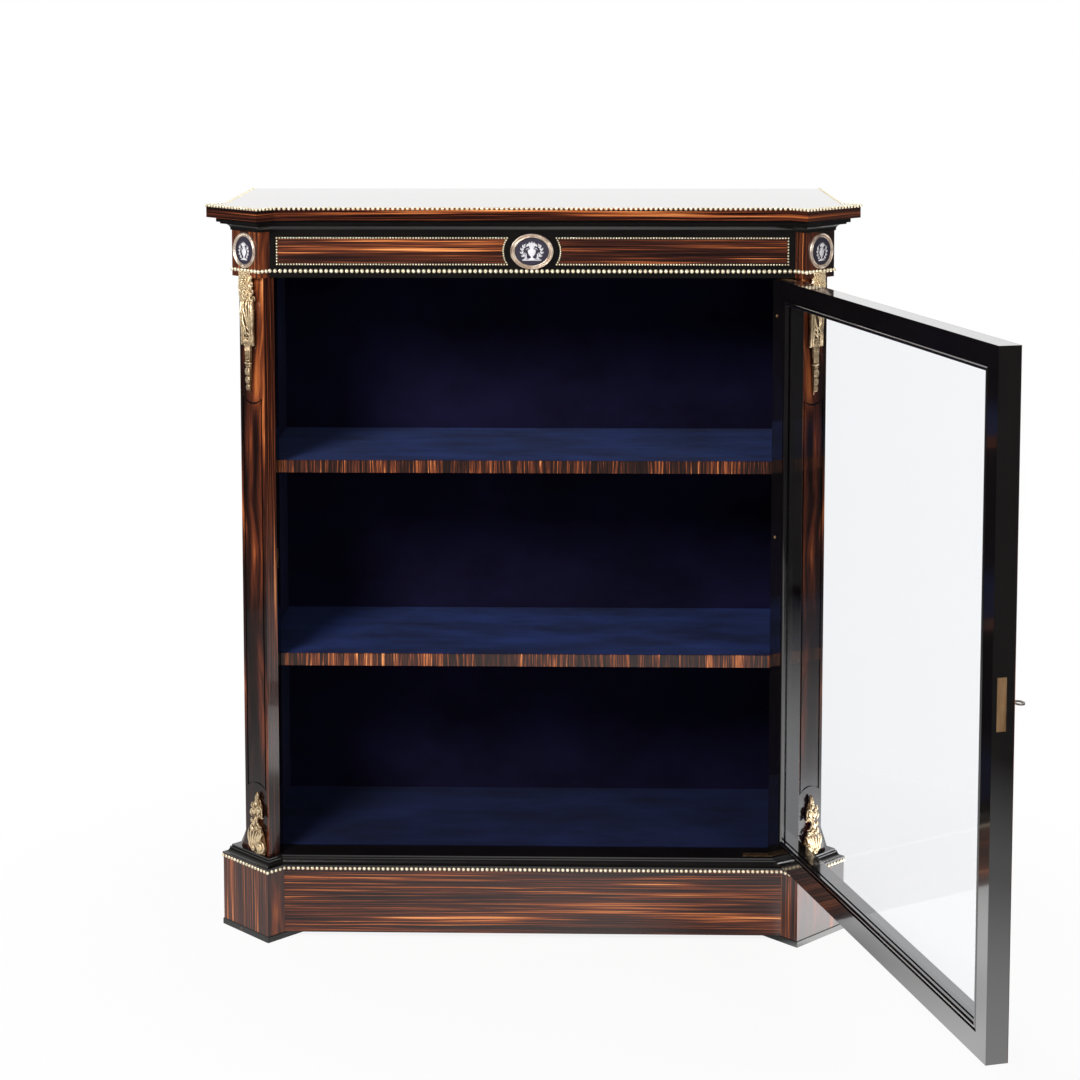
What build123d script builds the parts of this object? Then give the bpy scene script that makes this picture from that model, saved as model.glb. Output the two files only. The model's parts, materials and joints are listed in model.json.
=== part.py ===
"""Display cabinet with canted corners, one glazed door and gilt mounts, drawn in millimetres.

+X is the viewer's right, +Y runs to the back and +Z is up. While it is drawn, X = 0 is the middle,
Y = 0 the front-most corner of the plinth's beading and Z = 0 the floor. At the end everything is
moved so that the origin lies under the middle of the whole part, door open. The door is drawn
shut and then swung open about its pivots.
"""
import os
from collections import namedtuple
from math import cos, pi, sin, sqrt

from build123d import *

os.makedirs("parts", exist_ok=True)
ROOT2 = sqrt(2)

# Heights: the plinth counts up from the floor, the top down from the whole height
total_height = 1076.5
top_slab_thickness = 18.5
cornice_height = 17.0
frieze_height = 66.3
foot_height = 9.0
plinth_height = 99.0
floor_moulding_height = 14.0

plinth_top = foot_height + plinth_height
floor_level = plinth_top + floor_moulding_height
cornice_top = total_height - top_slab_thickness
frieze_top = cornice_top - cornice_height
lintel_bottom = frieze_top - frieze_height

# Lines of each storey's plan, set in from half the width of the top. A canted face, its return to the
# front and its return to the side each lie on a line at 45 degrees, given by the X at which it would
# cross the line Y = 0: the first two lie inside the storey's side, the third outside it.
half_width = 447.2
plinth_side_inset = 8.5
plinth_cant_inset = 55.7
plinth_return_inset = 51.5
plinth_side_return_outset = 98.9
plinth_front = 23.7
pillar_side_inset = 24.7
pillar_cant_inset = 62.5
pillar_return_inset = 12.5
pillar_side_return_outset = 66.5
pillar_front = 39.0
frieze_side_inset = 17.2
frieze_cant_inset = 59.0
frieze_return_inset = 20.0
frieze_side_return_outset = 67.0
frieze_front = 34.0
top_cant_inset = 52.2
top_return_inset = 63.7
top_side_return_outset = 103.8
top_front = 16.8
carcass_back = 385.0
top_back = 403.0
pillar_back = 77.5

# Boards
plinth_board = 20.0
side_board = 20.0
frieze_rail_depth = 26.0
back_board = 10.0
back_board_front = 352.0
ceiling_board_thickness = 12.0
veneer = 0.8

# Interior
lining_thickness = 11.0
back_lining_thickness = 8.0
velvet = 1.0
ceiling_above_lintel = 4.3
shelf_front = 64.0
shelf_thickness = 18.0
shelf_heights = {"upper": 581.5, "lower": 294.0}
shelf_edge_depth = 3.0
shelf_gap = 1.0
bearer_width = 10.0
bearer_height = 8.0
bearer_front = 90.0
bearer_short_of_back = 14.0

# Rows of beads, drawn here as half-round strips: radius, and how far the middle lies from the storey's edge
plinth_bead_radius = 2.5
plinth_bead_drop = 2.7
frieze_bead_radius = 2.9
frieze_bead_rise = 9.5
top_bead_radius = 2.4
top_bead_drop = 1.2

# Moulding at the top of the plinth
cap_fillet_out = 1.0
cap_fillet_height = 2.5
cap_cove_in = 7.0
cap_step_height = 3.0
cap_step_in = 9.0

# Cornice: heights of its steps, and how far each has gone from the frieze's plan to the top's
cornice_fillet_height = 2.0
cornice_cove_height = 6.5
cornice_band_height = 2.5
cornice_fillet_share = 0.06
cornice_cove_share = 0.33
cornice_band_share = 0.46
cornice_round_share = 0.62
cove_steps = 8

# Frieze panels and their bead frames
panel_end_inset = 80.0
panel_rise = 17.7
panel_drop = 7.6
panel_bead_width = 3.0
panel_bead_proud = 1.5
panel_hollow_x = 39.6
panel_hollow_z = 35.6

# Plaques of the frieze
centre_plaque_rise = 38.0
centre_ring_x = 31.0
centre_ring_z = 25.5
centre_plaque_x = 23.6
centre_plaque_z = 19.0
side_plaque_rise = 38.5
side_ring_radius = 25.6
side_plaque_radius = 19.7
plaque_thickness = 2.0
plaque_gap = 0.2
ring_thickness = 3.5

# Pillars
groove_inset = 5.6
groove_width = 2.8
groove_depth = 1.6
groove_from_bud = 2.0
groove_from_pendant = 11.0
groove_bow = 8.0
flare_height = 53.0
flare_reach = 11.3
flare_depth = 7.0
flare_root = 8.0
hinge_hollow_gap = 1.0
hinge_hollow_reach = 60.0

# Upper mount, from the pendant's tip to the scrolled head
pendant_height = 34.0
pendant_width = 9.0
pendant_tip_width = 2.4
pendant_proud = 5.0
collar_height = 5.0
collar_width = 11.5
collar_proud = 6.5
shaft_height = 26.0
shaft_foot_width = 8.0
shaft_head_width = 13.0
shaft_proud = 6.0
drape_height = 64.0
drape_foot_width = 14.0
drape_head_width = 22.0
drape_proud = 10.0
head_above_lintel = 6.3
head_height = 41.0
head_foot_width = 18.0
head_width = 24.0
head_proud = 12.0
scroll_radius = 6.0
scroll_out = 8.0
scroll_proud = 15.5

# Lower mount, from its scrolled foot to the bud
mount_foot_width = 24.0
mount_foot_height = 14.0
mount_foot_proud = 7.0
leaf_rise = 76.0
leaf_top_width = 9.0
leaf_proud = 8.0
bud_sunk = 6.0
bud_height = 24.0
bud_width = 9.5
bud_proud = 6.0

# Door, as it stands when shut
pivot_inset = 87.7
pivot_y = 48.0
door_thickness = 28.0
free_edge_inset = 78.2
door_gap_below = 1.2
door_gap_above = 1.5
hinge_stile_width = 48.0
lock_stile_width = 35.5
top_rail_width = 34.0
bottom_rail_width = 37.0
rebate_width = 8.0
glass_behind_front = 19.5
glass_thickness = 3.0
glass_gap = 0.5
bead_shoulder = 3.4
bead_quirk = 1.6
door_bead_inset = 3.0
door_bead_radius = 2.1
door_rest_angle = 105.6
door_over_swing = 2.0

# Pivots of the door
pivot_plate_length = 57.5
pivot_plate_beyond = 7.0
pivot_plate_width = 12.0
pivot_plate_thickness = 1.8
pivot_plate_let_in = 1.2
pivot_pin_radius = 3.0
pivot_pin_length = 8.6
pivot_fit = 0.06
pivot_collar_radius = 5.0
pivot_collar_height = 0.5
shoe_thickness = 2.0
shoe_room = 0.4

# Lock, key and keep
lock_rise = 428.0
selvedge_beyond_case = 7.0
selvedge_above_key = 5.0
selvedge_width = 12.0
selvedge_thickness = 2.0
selvedge_from_back = 6.0
lock_case_height = 50.0
lock_case_thickness = 10.0
lock_case_depth = 21.0
lock_wall = 1.9
bolt_above_key = 4.5
bolt_height = 14.0
bolt_width = 6.0
bolt_length = 16.6
bolt_sunk = 0.4
bolt_fit = 0.06
bolt_throw = 7.0
key_backset = 18.0
key_radius = 1.5
key_fit = 0.05
key_bit_reach = 3.6
key_bit_height = 1.6
key_room = 0.6
key_collar_radius = 2.6
key_collar_length = 1.4
key_neck_length = 5.0
key_bow_width = 17.0
key_bow_length = 13.0
key_bow_thickness = 2.0
key_bow_ring = 2.4
escutcheon_width = 13.0
escutcheon_height = 26.0
escutcheon_thickness = 1.2
keep_height = 30.0
keep_above_key = 11.5
keep_width = 12.0
keep_thickness = 1.0
keep_pocket_depth = 8.0
keep_slot_room = 1.0

# Screws and studs
screw_head_radius = 1.8
screw_head_height = 0.8
screw_core_radius = 1.0
screw_core_length = 6.0
screw_fit = 0.05
plate_screw_inset = 4.5
keep_screw_inset = 2.2
selvedge_screw_inset = 3.2
stud_head_radius = 2.2
stud_head_height = 1.2
stud_drops = [373.2, 52.2]
stud_inset = 14.0

# Feet
foot_out = 1.2
foot_chamfer = 1.0
foot_under_board = 26.0
rear_foot_length = 40.0
rear_foot_width = 30.0
block_behind_cant = 19.8

# What cuts run past the faces they open
overrun = 1.0

# The lock's edge plate stands past its case at both ends, for a screw
selvedge_height = lock_case_height + 2 * selvedge_beyond_case
# The door and the frieze panels keep their distance from the ends of the top
panel_end = half_width - panel_end_inset
pivot_x = half_width - pivot_inset
door_free_edge = free_edge_inset - half_width
# Plans: their sides, canted faces and returns
plinth_side = half_width - plinth_side_inset
plinth_cant = plinth_side - plinth_cant_inset
plinth_return = plinth_side - plinth_return_inset
plinth_side_return = plinth_side + plinth_side_return_outset
pillar_side = half_width - pillar_side_inset
pillar_cant = pillar_side - pillar_cant_inset
pillar_return = pillar_side - pillar_return_inset
pillar_side_return = pillar_side + pillar_side_return_outset
frieze_side = half_width - frieze_side_inset
frieze_cant = frieze_side - frieze_cant_inset
frieze_return = frieze_side - frieze_return_inset
frieze_side_return = frieze_side + frieze_side_return_outset
top_side = half_width
top_cant = top_side - top_cant_inset
top_return = top_side - top_return_inset
top_side_return = top_side + top_side_return_outset
Plan = namedtuple("Plan", "cant ret tip front side back")
plinth_plan = Plan(plinth_cant, plinth_return, plinth_side_return, plinth_front, plinth_side, carcass_back)
pillar_plan = Plan(pillar_cant, pillar_return, pillar_side_return, pillar_front, pillar_side, carcass_back)
frieze_plan = Plan(frieze_cant, frieze_return, frieze_side_return, frieze_front, frieze_side, carcass_back)
top_plan = Plan(top_cant, top_return, top_side_return, top_front, top_side, top_back)

# Places worked out from the sizes above
pillar_inner = pillar_return - pillar_front
frieze_inner = frieze_return - frieze_front
plinth_inner = plinth_return - plinth_front
plinth_block_depth = plinth_side_return - plinth_side + block_behind_cant
side_inner = pillar_side - side_board
room_side = side_inner - lining_thickness
room_back = back_board_front - back_lining_thickness
velvet_floor_top = floor_level + velvet
top_bead_level = total_height - top_bead_drop
frieze_bead_level = lintel_bottom + frieze_bead_rise
plinth_bead_level = plinth_top - plinth_bead_drop
cap_cove_top = floor_level - cap_step_height
panel_bottom = lintel_bottom + panel_rise
panel_top = frieze_top - panel_drop
centre_plaque_level = lintel_bottom + centre_plaque_rise
side_plaque_level = lintel_bottom + side_plaque_rise
ceiling_level = lintel_bottom + ceiling_above_lintel
shelf_levels = {name: floor_level + height for name, height in shelf_heights.items()}
head_top = lintel_bottom + head_above_lintel
drape_top = head_top - head_height
shaft_top = drape_top - drape_height
collar_top = shaft_top - shaft_height
pendant_top = collar_top - collar_height
pendant_bottom = pendant_top - pendant_height
flare_top = floor_level + flare_height
leaf_top = floor_level + leaf_rise
bud_bottom = leaf_top - bud_sunk
bud_top = bud_bottom + bud_height
door_bottom = floor_level + door_gap_below
door_top = lintel_bottom - door_gap_above
lock_level = floor_level + lock_rise
selvedge_level = lock_level + selvedge_above_key
bolt_low = lock_level + bolt_above_key
keep_level = lock_level + keep_above_key
stud_levels = [door_top - drop for drop in stud_drops]
door_front = pivot_y - door_thickness / 2
door_back = pivot_y + door_thickness / 2
sight_left = door_free_edge + lock_stile_width
sight_right = pivot_x - hinge_stile_width
sight_bottom = door_bottom + bottom_rail_width
sight_top = door_top - top_rail_width
glass_front = door_front + glass_behind_front
glass_back = glass_front + glass_thickness
hollow_radius = door_thickness / 2 + hinge_hollow_gap

parts = {}


def half_plan(plan, out=0.0):
    """Right-hand corners of a storey, from its front to its side, pushed out by a distance."""
    slant = out * ROOT2
    cant = plan.cant + slant
    ret = plan.ret - slant
    tip = plan.tip + slant
    front = plan.front - out
    side = plan.side + out
    return [
        (ret - front, front),
        ((cant + ret) / 2, (ret - cant) / 2),
        ((cant + tip) / 2, (tip - cant) / 2),
        (side, tip - side),
    ]


def open_plan(plan, out=0.0):
    """The outline of a storey without its back, from the left side round the front to the right."""
    right = half_plan(plan, out) + [(plan.side + out, plan.back)]
    left = [(-x, y) for x, y in reversed(right)]
    return left + right


def blend(start, end, share):
    """A plan part of the way from one storey's to another's, with the first one's back."""
    lines = [a + (b - a) * share for a, b in zip(start, end)]
    return Plan(*lines[:-1], start.back)


def outline(points, level=0.0):
    """A flat face on corners of the plan at a level."""
    return Plane.XY.offset(level) * Polygon(*points, align=None)


def plate(points, bottom, top):
    """An upright solid on corners of the plan."""
    return extrude(outline(points, bottom), amount=top - bottom)


def block(x0, x1, y0, y1, z0, z1):
    """A box between two corners."""
    return Pos(x0, y0, z0) * Box(x1 - x0, y1 - y0, z1 - z0, align=(Align.MIN, Align.MIN, Align.MIN))


def front_plane(y):
    """A plane that faces the viewer: its X is the part's X and its Y is the height."""
    return Plane(origin=(0, y, 0), x_dir=(1, 0, 0), z_dir=(0, -1, 0))


def cant_plane(plan):
    """The plane of the right canted face: X runs along it to the back, Y is the height."""
    apex, tip = half_plan(plan)[1:3]
    middle = ((apex[0] + tip[0]) / 2, (apex[1] + tip[1]) / 2, 0)
    return Plane(origin=middle, x_dir=(1, 1, 0), z_dir=(1, -1, 0))


def pair(name, right):
    """Files a right-hand piece and its mirror image."""
    parts[name + "_right"] = right
    parts[name + "_left"] = mirror(right, about=Plane.YZ)


def group(name, right):
    """Files a right-hand piece and its mirror image as one node."""
    parts[name] = Compound(children=[right, mirror(right, about=Plane.YZ)])


def bead_strip(points, level, radius):
    """A half-round strip with mitred corners on the faces below an open outline's corners."""
    start, second = Vector(*points[0]), Vector(*points[1])
    along = (second - start).normalized()
    outward = Vector(along.Y, -along.X, 0)
    section_plane = Plane(origin=(start.X, start.Y, level), x_dir=outward, z_dir=along)
    section = section_plane * (Circle(radius) & Pos(radius, 0) * Rectangle(2 * radius, 2 * radius))
    path = Plane.XY.offset(level) * Polyline(*points)
    return sweep(section, path=path, transition=Transition.RIGHT)


def door_ring(left, right, bottom, top, y, section):
    """A section swept round an upright rectangle: its X leads away from the middle, its Y back."""
    middle = (left + right) / 2
    corners = [(right, y, bottom), (right, y, top), (left, y, top), (left, y, bottom)]
    path = Polyline((middle, y, bottom), *corners, (middle, y, bottom))
    section_plane = Plane(origin=(middle, y, bottom), x_dir=(0, 0, -1), z_dir=(1, 0, 0))
    return sweep(section_plane * section, path=path, transition=Transition.RIGHT)


def swing(shape, angle):
    """Turns a piece of the door about its pivots."""
    return Pos(pivot_x, pivot_y, 0) * Rot(0, 0, angle) * Pos(-pivot_x, -pivot_y, 0) * shape


def screw(head, room=0.0):
    """A screw whose head is flush with a plane; with room, the hole that it fits."""
    sunk = (Align.CENTER, Align.CENTER, Align.MAX)
    shank = Cylinder(screw_core_radius + room, screw_core_length, align=sunk)
    top = Cylinder(screw_head_radius + room, screw_head_height, align=sunk)
    return head * (shank + top)


# Top slab and its beading
parts["top_slab"] = plate(open_plan(top_plan), cornice_top, total_height)
parts["top_beading"] = bead_strip(open_plan(top_plan), top_bead_level, top_bead_radius)


def cornice():
    """The carcass's top board, moulded as a stepped cove from the frieze's plan to the top's."""
    fillet_top = frieze_top + cornice_fillet_height
    cove_top = fillet_top + cornice_cove_height
    band_top = cove_top + cornice_band_height
    board = plate(open_plan(blend(frieze_plan, top_plan, cornice_fillet_share)), frieze_top, fillet_top)
    rise = cornice_cove_share - cornice_fillet_share
    sections = []
    for step in range(cove_steps + 1):
        angle = pi / 2 * step / cove_steps
        share = cornice_cove_share - rise * cos(angle)
        level = fillet_top + cornice_cove_height * sin(angle)
        sections.append(outline(open_plan(blend(frieze_plan, top_plan, share)), level))
    board += loft(sections, ruled=True)
    board += plate(open_plan(blend(frieze_plan, top_plan, cornice_band_share)), cove_top, band_top)
    round_plan = blend(frieze_plan, top_plan, cornice_round_share)
    return board + plate(open_plan(round_plan), band_top, cornice_top)


parts["cornice_moulding"] = cornice()

# Frieze: rail over the door, corner blocks and side boards
rail_back = frieze_front + frieze_rail_depth
frieze_rail = block(-frieze_inner, frieze_inner, frieze_front, rail_back, lintel_bottom, frieze_top)
block_corners = half_plan(frieze_plan) + [(frieze_side, pillar_back), (frieze_inner, pillar_back)]
frieze_block = plate(block_corners, lintel_bottom, frieze_top)
pair("frieze_block", frieze_block)
group("frieze_sides", block(pillar_side, frieze_side, pillar_back, carcass_back, lintel_bottom, frieze_top))
parts["frieze_beading"] = bead_strip(open_plan(frieze_plan), frieze_bead_level, frieze_bead_radius)


def panel_outline(inset):
    """Half of the frieze's long panel: square at its outer end, hollowed round the centre plaque."""
    width = panel_end - inset
    height = panel_top - panel_bottom - 2 * inset
    long_panel = Pos(width / 2, panel_bottom + inset + height / 2) * Rectangle(width, height)
    return long_panel - Pos(0, centre_plaque_level) * Ellipse(panel_hollow_x + inset, panel_hollow_z + inset)


frieze_face = front_plane(frieze_front)
panel_frame = panel_outline(0.0) - panel_outline(panel_bead_width)
group("panel_beading", extrude(frieze_face * panel_frame, amount=panel_bead_proud))
group("frieze_panels", extrude(frieze_face * panel_outline(panel_bead_width), amount=veneer))

# Plaques: an oval one in the middle of the frieze and a round one on each canted block
centre_oval = Ellipse(centre_plaque_x, centre_plaque_z)
centre_ring = Ellipse(centre_ring_x, centre_ring_z)
centre_ring -= Ellipse(centre_plaque_x + plaque_gap, centre_plaque_z + plaque_gap)
centre_place = frieze_face * Pos(0, centre_plaque_level)
parts["centre_plaque"] = extrude(centre_place * centre_oval, amount=plaque_thickness)
parts["centre_plaque_ring"] = extrude(centre_place * centre_ring, amount=ring_thickness)
side_place = cant_plane(frieze_plan) * Pos(0, side_plaque_level)
side_ring = Circle(side_ring_radius) - Circle(side_plaque_radius + plaque_gap)
pair("side_plaque", extrude(side_place * Circle(side_plaque_radius), amount=plaque_thickness))
group("side_plaque_rings", extrude(side_place * side_ring, amount=ring_thickness))

# Carcass: sides, back and ceiling
pair("side_panel", block(side_inner, pillar_side, pillar_back, carcass_back, floor_level, frieze_top))
back_board_back = back_board_front + back_board
parts["back_panel"] = block(
    -side_inner, side_inner, back_board_front, back_board_back, floor_level, frieze_top
)
ceiling_bottom = ceiling_level + velvet
ceiling_top = ceiling_bottom + ceiling_board_thickness
ceiling = block(-side_inner, side_inner, pillar_back, back_board_front, ceiling_bottom, ceiling_top)
ceiling += block(-frieze_inner, frieze_inner, rail_back, pillar_back, ceiling_bottom, ceiling_top)
parts["ceiling_board"] = ceiling

# Velvet and its boards
side_lining = block(room_side, side_inner, pillar_back, back_board_front, floor_level, ceiling_bottom)
group("side_linings", side_lining)
parts["back_lining"] = block(-room_side, room_side, room_back, back_board_front, floor_level, ceiling_bottom)
parts["ceiling_lining"] = block(-room_side, room_side, pillar_back, room_back, ceiling_level, ceiling_bottom)
parts["floor_velvet"] = block(-room_side, room_side, pillar_back, room_back, floor_level, velvet_floor_top)


def shelf(name, level):
    """Files a shelf, and gives its velvet top, its banded front edge and its two bearers."""
    front_half = pillar_inner - shelf_gap
    board_top = level - velvet
    bottom = level - shelf_thickness
    edge_back = shelf_front + shelf_edge_depth
    corners = [(front_half, edge_back), (front_half, pillar_back)]
    corners += [(room_side, pillar_back), (room_side, room_back)]
    corners += [(-x, y) for x, y in reversed(corners)]
    parts["shelf_" + name] = plate(corners, bottom, board_top)
    top = plate(corners, board_top, level)
    edge_band = block(-front_half, front_half, shelf_front, edge_back, bottom, level)
    bearer_back = back_board_front - back_lining_thickness - bearer_short_of_back
    bearer_inner = room_side - bearer_width
    right = block(bearer_inner, room_side, bearer_front, bearer_back, bottom - bearer_height, bottom)
    return top, edge_band, [right, mirror(right, about=Plane.YZ)]


shelf_tops, shelf_bands, bearers = [], [], []
for shelf_name, shelf_level in shelf_levels.items():
    shelf_top, shelf_band, shelf_bearers = shelf(shelf_name, shelf_level)
    shelf_tops.append(shelf_top)
    shelf_bands.append(shelf_band)
    bearers += shelf_bearers
parts["shelf_velvet"] = Compound(children=shelf_tops)
parts["shelf_edges"] = Compound(children=shelf_bands)
parts["shelf_bearers"] = Compound(children=bearers)


def plinth_cap():
    """The floor board, whose edge is the moulding at the top of the plinth."""
    cove_bottom = plinth_top + cap_fillet_height
    cap = plate(open_plan(plinth_plan, cap_fillet_out), plinth_top, cove_bottom)
    sections = []
    for step in range(cove_steps + 1):
        angle = pi / 2 * (1 - step / cove_steps)
        level = cap_cove_top - (cap_cove_top - cove_bottom) * sin(angle)
        sections.append(outline(open_plan(plinth_plan, -cap_cove_in * cos(angle)), level))
    cap += loft(sections, ruled=True)
    return cap + plate(open_plan(plinth_plan, -cap_step_in), cap_cove_top, floor_level)


# Plinth: boards between corner blocks, its beading and the plates that it stands on
block_corners = half_plan(plinth_plan)
block_corners += [(plinth_side, plinth_block_depth), (plinth_inner, plinth_block_depth)]
pair("plinth_block", plate(block_corners, foot_height, plinth_top))
parts["plinth_front"] = block(
    -plinth_inner, plinth_inner, plinth_front, plinth_front + plinth_board, foot_height, plinth_top
)
plinth_side_inner = plinth_side - plinth_board
side_length = (plinth_block_depth, carcass_back)
pair("plinth_side", block(plinth_side_inner, plinth_side, *side_length, foot_height, plinth_top))
parts["plinth_back"] = block(
    -plinth_side_inner, plinth_side_inner, carcass_back - plinth_board, carcass_back, foot_height, plinth_top
)
parts["plinth_beading"] = bead_strip(open_plan(plinth_plan), plinth_bead_level, plinth_bead_radius)
foot_corners = half_plan(plinth_plan, foot_out)
under_x, under_y = foot_corners[0]
foot_corners[0] = (under_x - foot_under_board, under_y + foot_under_board)
foot_corners += [(plinth_side + foot_out, plinth_block_depth), (plinth_inner, plinth_block_depth)]
front_foot = plate(foot_corners, 0, foot_height)
front_foot = chamfer(front_foot.faces().sort_by(Axis.Z)[-1].edges(), length=foot_chamfer)
rear_foot_inner = plinth_side - rear_foot_width
rear_foot_front = carcass_back - rear_foot_length
rear_foot = block(rear_foot_inner, plinth_side, rear_foot_front, carcass_back, 0, foot_height)
feet = [front_foot, rear_foot]
feet += [mirror(foot, about=Plane.YZ) for foot in feet]
parts["foot_plates"] = Compound(children=feet)


def groove_outline(inset):
    """The long panel of a pillar, whose ends bow inwards round the mounts."""
    plan_corners = half_plan(pillar_plan)
    face_width = (plan_corners[2][0] - plan_corners[1][0]) * ROOT2
    half = face_width / 2 - groove_inset - inset
    low = bud_top + groove_from_bud + inset
    high = pendant_bottom - groove_from_pendant - inset
    edges = [
        ThreePointArc((-half, low), (0, low + groove_bow), (half, low)),
        Line((half, low), (half, high)),
        ThreePointArc((half, high), (0, high - groove_bow), (-half, high)),
        Line((-half, high), (-half, low)),
    ]
    return make_face(edges)


def pillar():
    """A right-hand pillar with its inlaid line and the flare at its foot."""
    corners = half_plan(pillar_plan) + [(pillar_side, pillar_back), (pillar_inner, pillar_back)]
    post = plate(corners, floor_level, lintel_bottom)
    face = cant_plane(pillar_plan)
    half = (corners[2][0] - corners[1][0]) * ROOT2 / 2
    root = half - flare_root
    toe = half + flare_reach
    hollow = (half + flare_reach * (1 - 1 / ROOT2), flare_top - (flare_top - floor_level) / ROOT2)
    flare_edges = [
        Polyline((half, flare_top), (root, flare_top), (root, floor_level), (toe, floor_level)),
        ThreePointArc((toe, floor_level), hollow, (half, flare_top)),
    ]
    post += extrude(face * make_face(flare_edges), amount=-flare_depth)
    groove = groove_outline(0.0) - groove_outline(groove_width)
    return post - extrude(face * groove, amount=-groove_depth)


pillar_solid = pillar()
hollow_height = lintel_bottom - floor_level + 2 * overrun
hinge_hollow = Pos(pivot_x, pivot_y, floor_level - overrun) * Cylinder(
    hollow_radius, hollow_height, align=(Align.CENTER, Align.CENTER, Align.MIN)
)
swept_slab = block(
    pivot_x - hinge_hollow_reach, pivot_x, pivot_y - hollow_radius, pivot_y + hollow_radius,
    floor_level - overrun, lintel_bottom + overrun,
)
hinge_hollow += swing(swept_slab, door_rest_angle + door_over_swing)
parts["pillar_right"] = pillar_solid - hinge_hollow
pillar_left = mirror(pillar_solid, about=Plane.YZ)


def tapered(foot_width, head_width, bottom, top, proud, face):
    """A raised piece of a mount that narrows towards one end."""
    corners = [
        (-foot_width / 2, bottom), (foot_width / 2, bottom), (head_width / 2, top), (-head_width / 2, top)
    ]
    return extrude(face * Polygon(*corners, align=None), amount=proud)


def upper_mount():
    """Scrolled head, draped body, shaft, collar and pendant, in one casting."""
    face = cant_plane(pillar_plan)
    scroll_level = head_top - scroll_radius
    mount = tapered(pendant_tip_width, pendant_width, pendant_bottom, pendant_top, pendant_proud, face)
    mount += tapered(collar_width, collar_width, pendant_top, collar_top, collar_proud, face)
    mount += tapered(shaft_foot_width, shaft_head_width, collar_top, shaft_top, shaft_proud, face)
    mount += tapered(drape_foot_width, drape_head_width, shaft_top, drape_top, drape_proud, face)
    mount += tapered(head_foot_width, head_width, drape_top, scroll_level, head_proud, face)
    for side in (-1, 1):
        scroll = face * Pos(side * scroll_out, scroll_level) * Circle(scroll_radius)
        mount += extrude(scroll, amount=scroll_proud)
    return mount - frieze_block


def lower_mount():
    """Scrolled foot, rising leaves and bud, in one casting."""
    face = cant_plane(pillar_plan)
    foot_top = floor_level + mount_foot_height
    mount = tapered(mount_foot_width, mount_foot_width, floor_level, foot_top, mount_foot_proud, face)
    mount += tapered(mount_foot_width, leaf_top_width, foot_top, leaf_top, leaf_proud, face)
    bud_half = (bud_top - bud_bottom) / 2
    bud = Pos(0, bud_bottom + bud_half) * Ellipse(bud_width / 2, bud_half)
    return mount + extrude(face * bud, amount=bud_proud)


pair("upper_mount", upper_mount())
pair("lower_mount", lower_mount())

# Pivots: plates let into the floor and the lintel, each with a pin that enters the door
plate_left = pivot_x + pivot_plate_beyond - pivot_plate_length
plate_right = pivot_x + pivot_plate_beyond
plate_front = pivot_y - pivot_plate_width / 2
plate_back = pivot_y + pivot_plate_width / 2
low_plate_top = floor_level + pivot_plate_thickness - pivot_plate_let_in
high_plate_bottom = lintel_bottom - pivot_plate_thickness + pivot_plate_let_in
low_plate_bottom = floor_level - pivot_plate_let_in
high_plate_top = lintel_bottom + pivot_plate_let_in
low_pocket = block(plate_left, plate_right, plate_front, plate_back, low_plate_bottom, low_plate_top)
high_pocket = block(plate_left, plate_right, plate_front, plate_back, high_plate_bottom, high_plate_top)
pin_sides = (Align.CENTER, Align.CENTER, Align.MIN)
pin_sides_down = (Align.CENTER, Align.CENTER, Align.MAX)
low_pivot = low_pocket + Pos(pivot_x, pivot_y, low_plate_top) * (
    Cylinder(pivot_pin_radius, pivot_pin_length, align=pin_sides)
    + Cylinder(pivot_collar_radius, pivot_collar_height, align=pin_sides)
)
high_pivot = high_pocket + Pos(pivot_x, pivot_y, high_plate_bottom) * Cylinder(
    pivot_pin_radius, pivot_pin_length, align=pin_sides_down
)

# Where the brass plates are screwed: a plane on each head
plate_screw_x = [plate_left + plate_screw_inset, pivot_x - 2 * plate_screw_inset]
carcass_screws = [Pos(x, pivot_y, low_plate_top) for x in plate_screw_x]
carcass_screws += [Pos(x, pivot_y, high_plate_bottom) * Rot(180, 0, 0) for x in plate_screw_x]
keep_face = -pillar_inner
selvedge_y = door_back - selvedge_from_back - selvedge_width / 2
keep_screw_reach = keep_height / 2 - keep_screw_inset
for side in (-1, 1):
    carcass_screws.append(Pos(keep_face, selvedge_y, keep_level + side * keep_screw_reach) * Rot(0, 90, 0))


def drill(shape, places):
    """Cuts the holes of screws out of a piece."""
    for place in places:
        shape -= screw(place, screw_fit)
    return shape


parts["plinth_cap"] = drill(plinth_cap() - low_pocket, carcass_screws[:2])
parts["frieze_rail"] = drill(frieze_rail - high_pocket, carcass_screws[2:4])
pivots = [drill(low_pivot, carcass_screws[:2]), drill(high_pivot, carcass_screws[2:4])]
parts["pivot_plates"] = Compound(children=pivots)

# Keep for the bolt, let into the left pillar
keep_bottom = keep_level - keep_height / 2
keep_top = keep_level + keep_height / 2
slot_bottom = bolt_low - keep_slot_room
slot_top = bolt_low + bolt_height + keep_slot_room
slot_half = bolt_width / 2 + keep_slot_room
keep_front = selvedge_y - keep_width / 2
keep_back = selvedge_y + keep_width / 2
keep_plate = block(keep_face - keep_thickness, keep_face, keep_front, keep_back, keep_bottom, keep_top)
keep_slot = block(
    keep_face - keep_pocket_depth, keep_face + overrun, selvedge_y - slot_half, selvedge_y + slot_half,
    slot_bottom, slot_top,
)
parts["keep_plate"] = drill(keep_plate - keep_slot, carcass_screws[4:])
parts["pillar_left"] = drill(pillar_left - keep_plate - keep_slot, carcass_screws[4:])
parts["carcass_screws"] = Compound(children=[screw(place) for place in carcass_screws])

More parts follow.
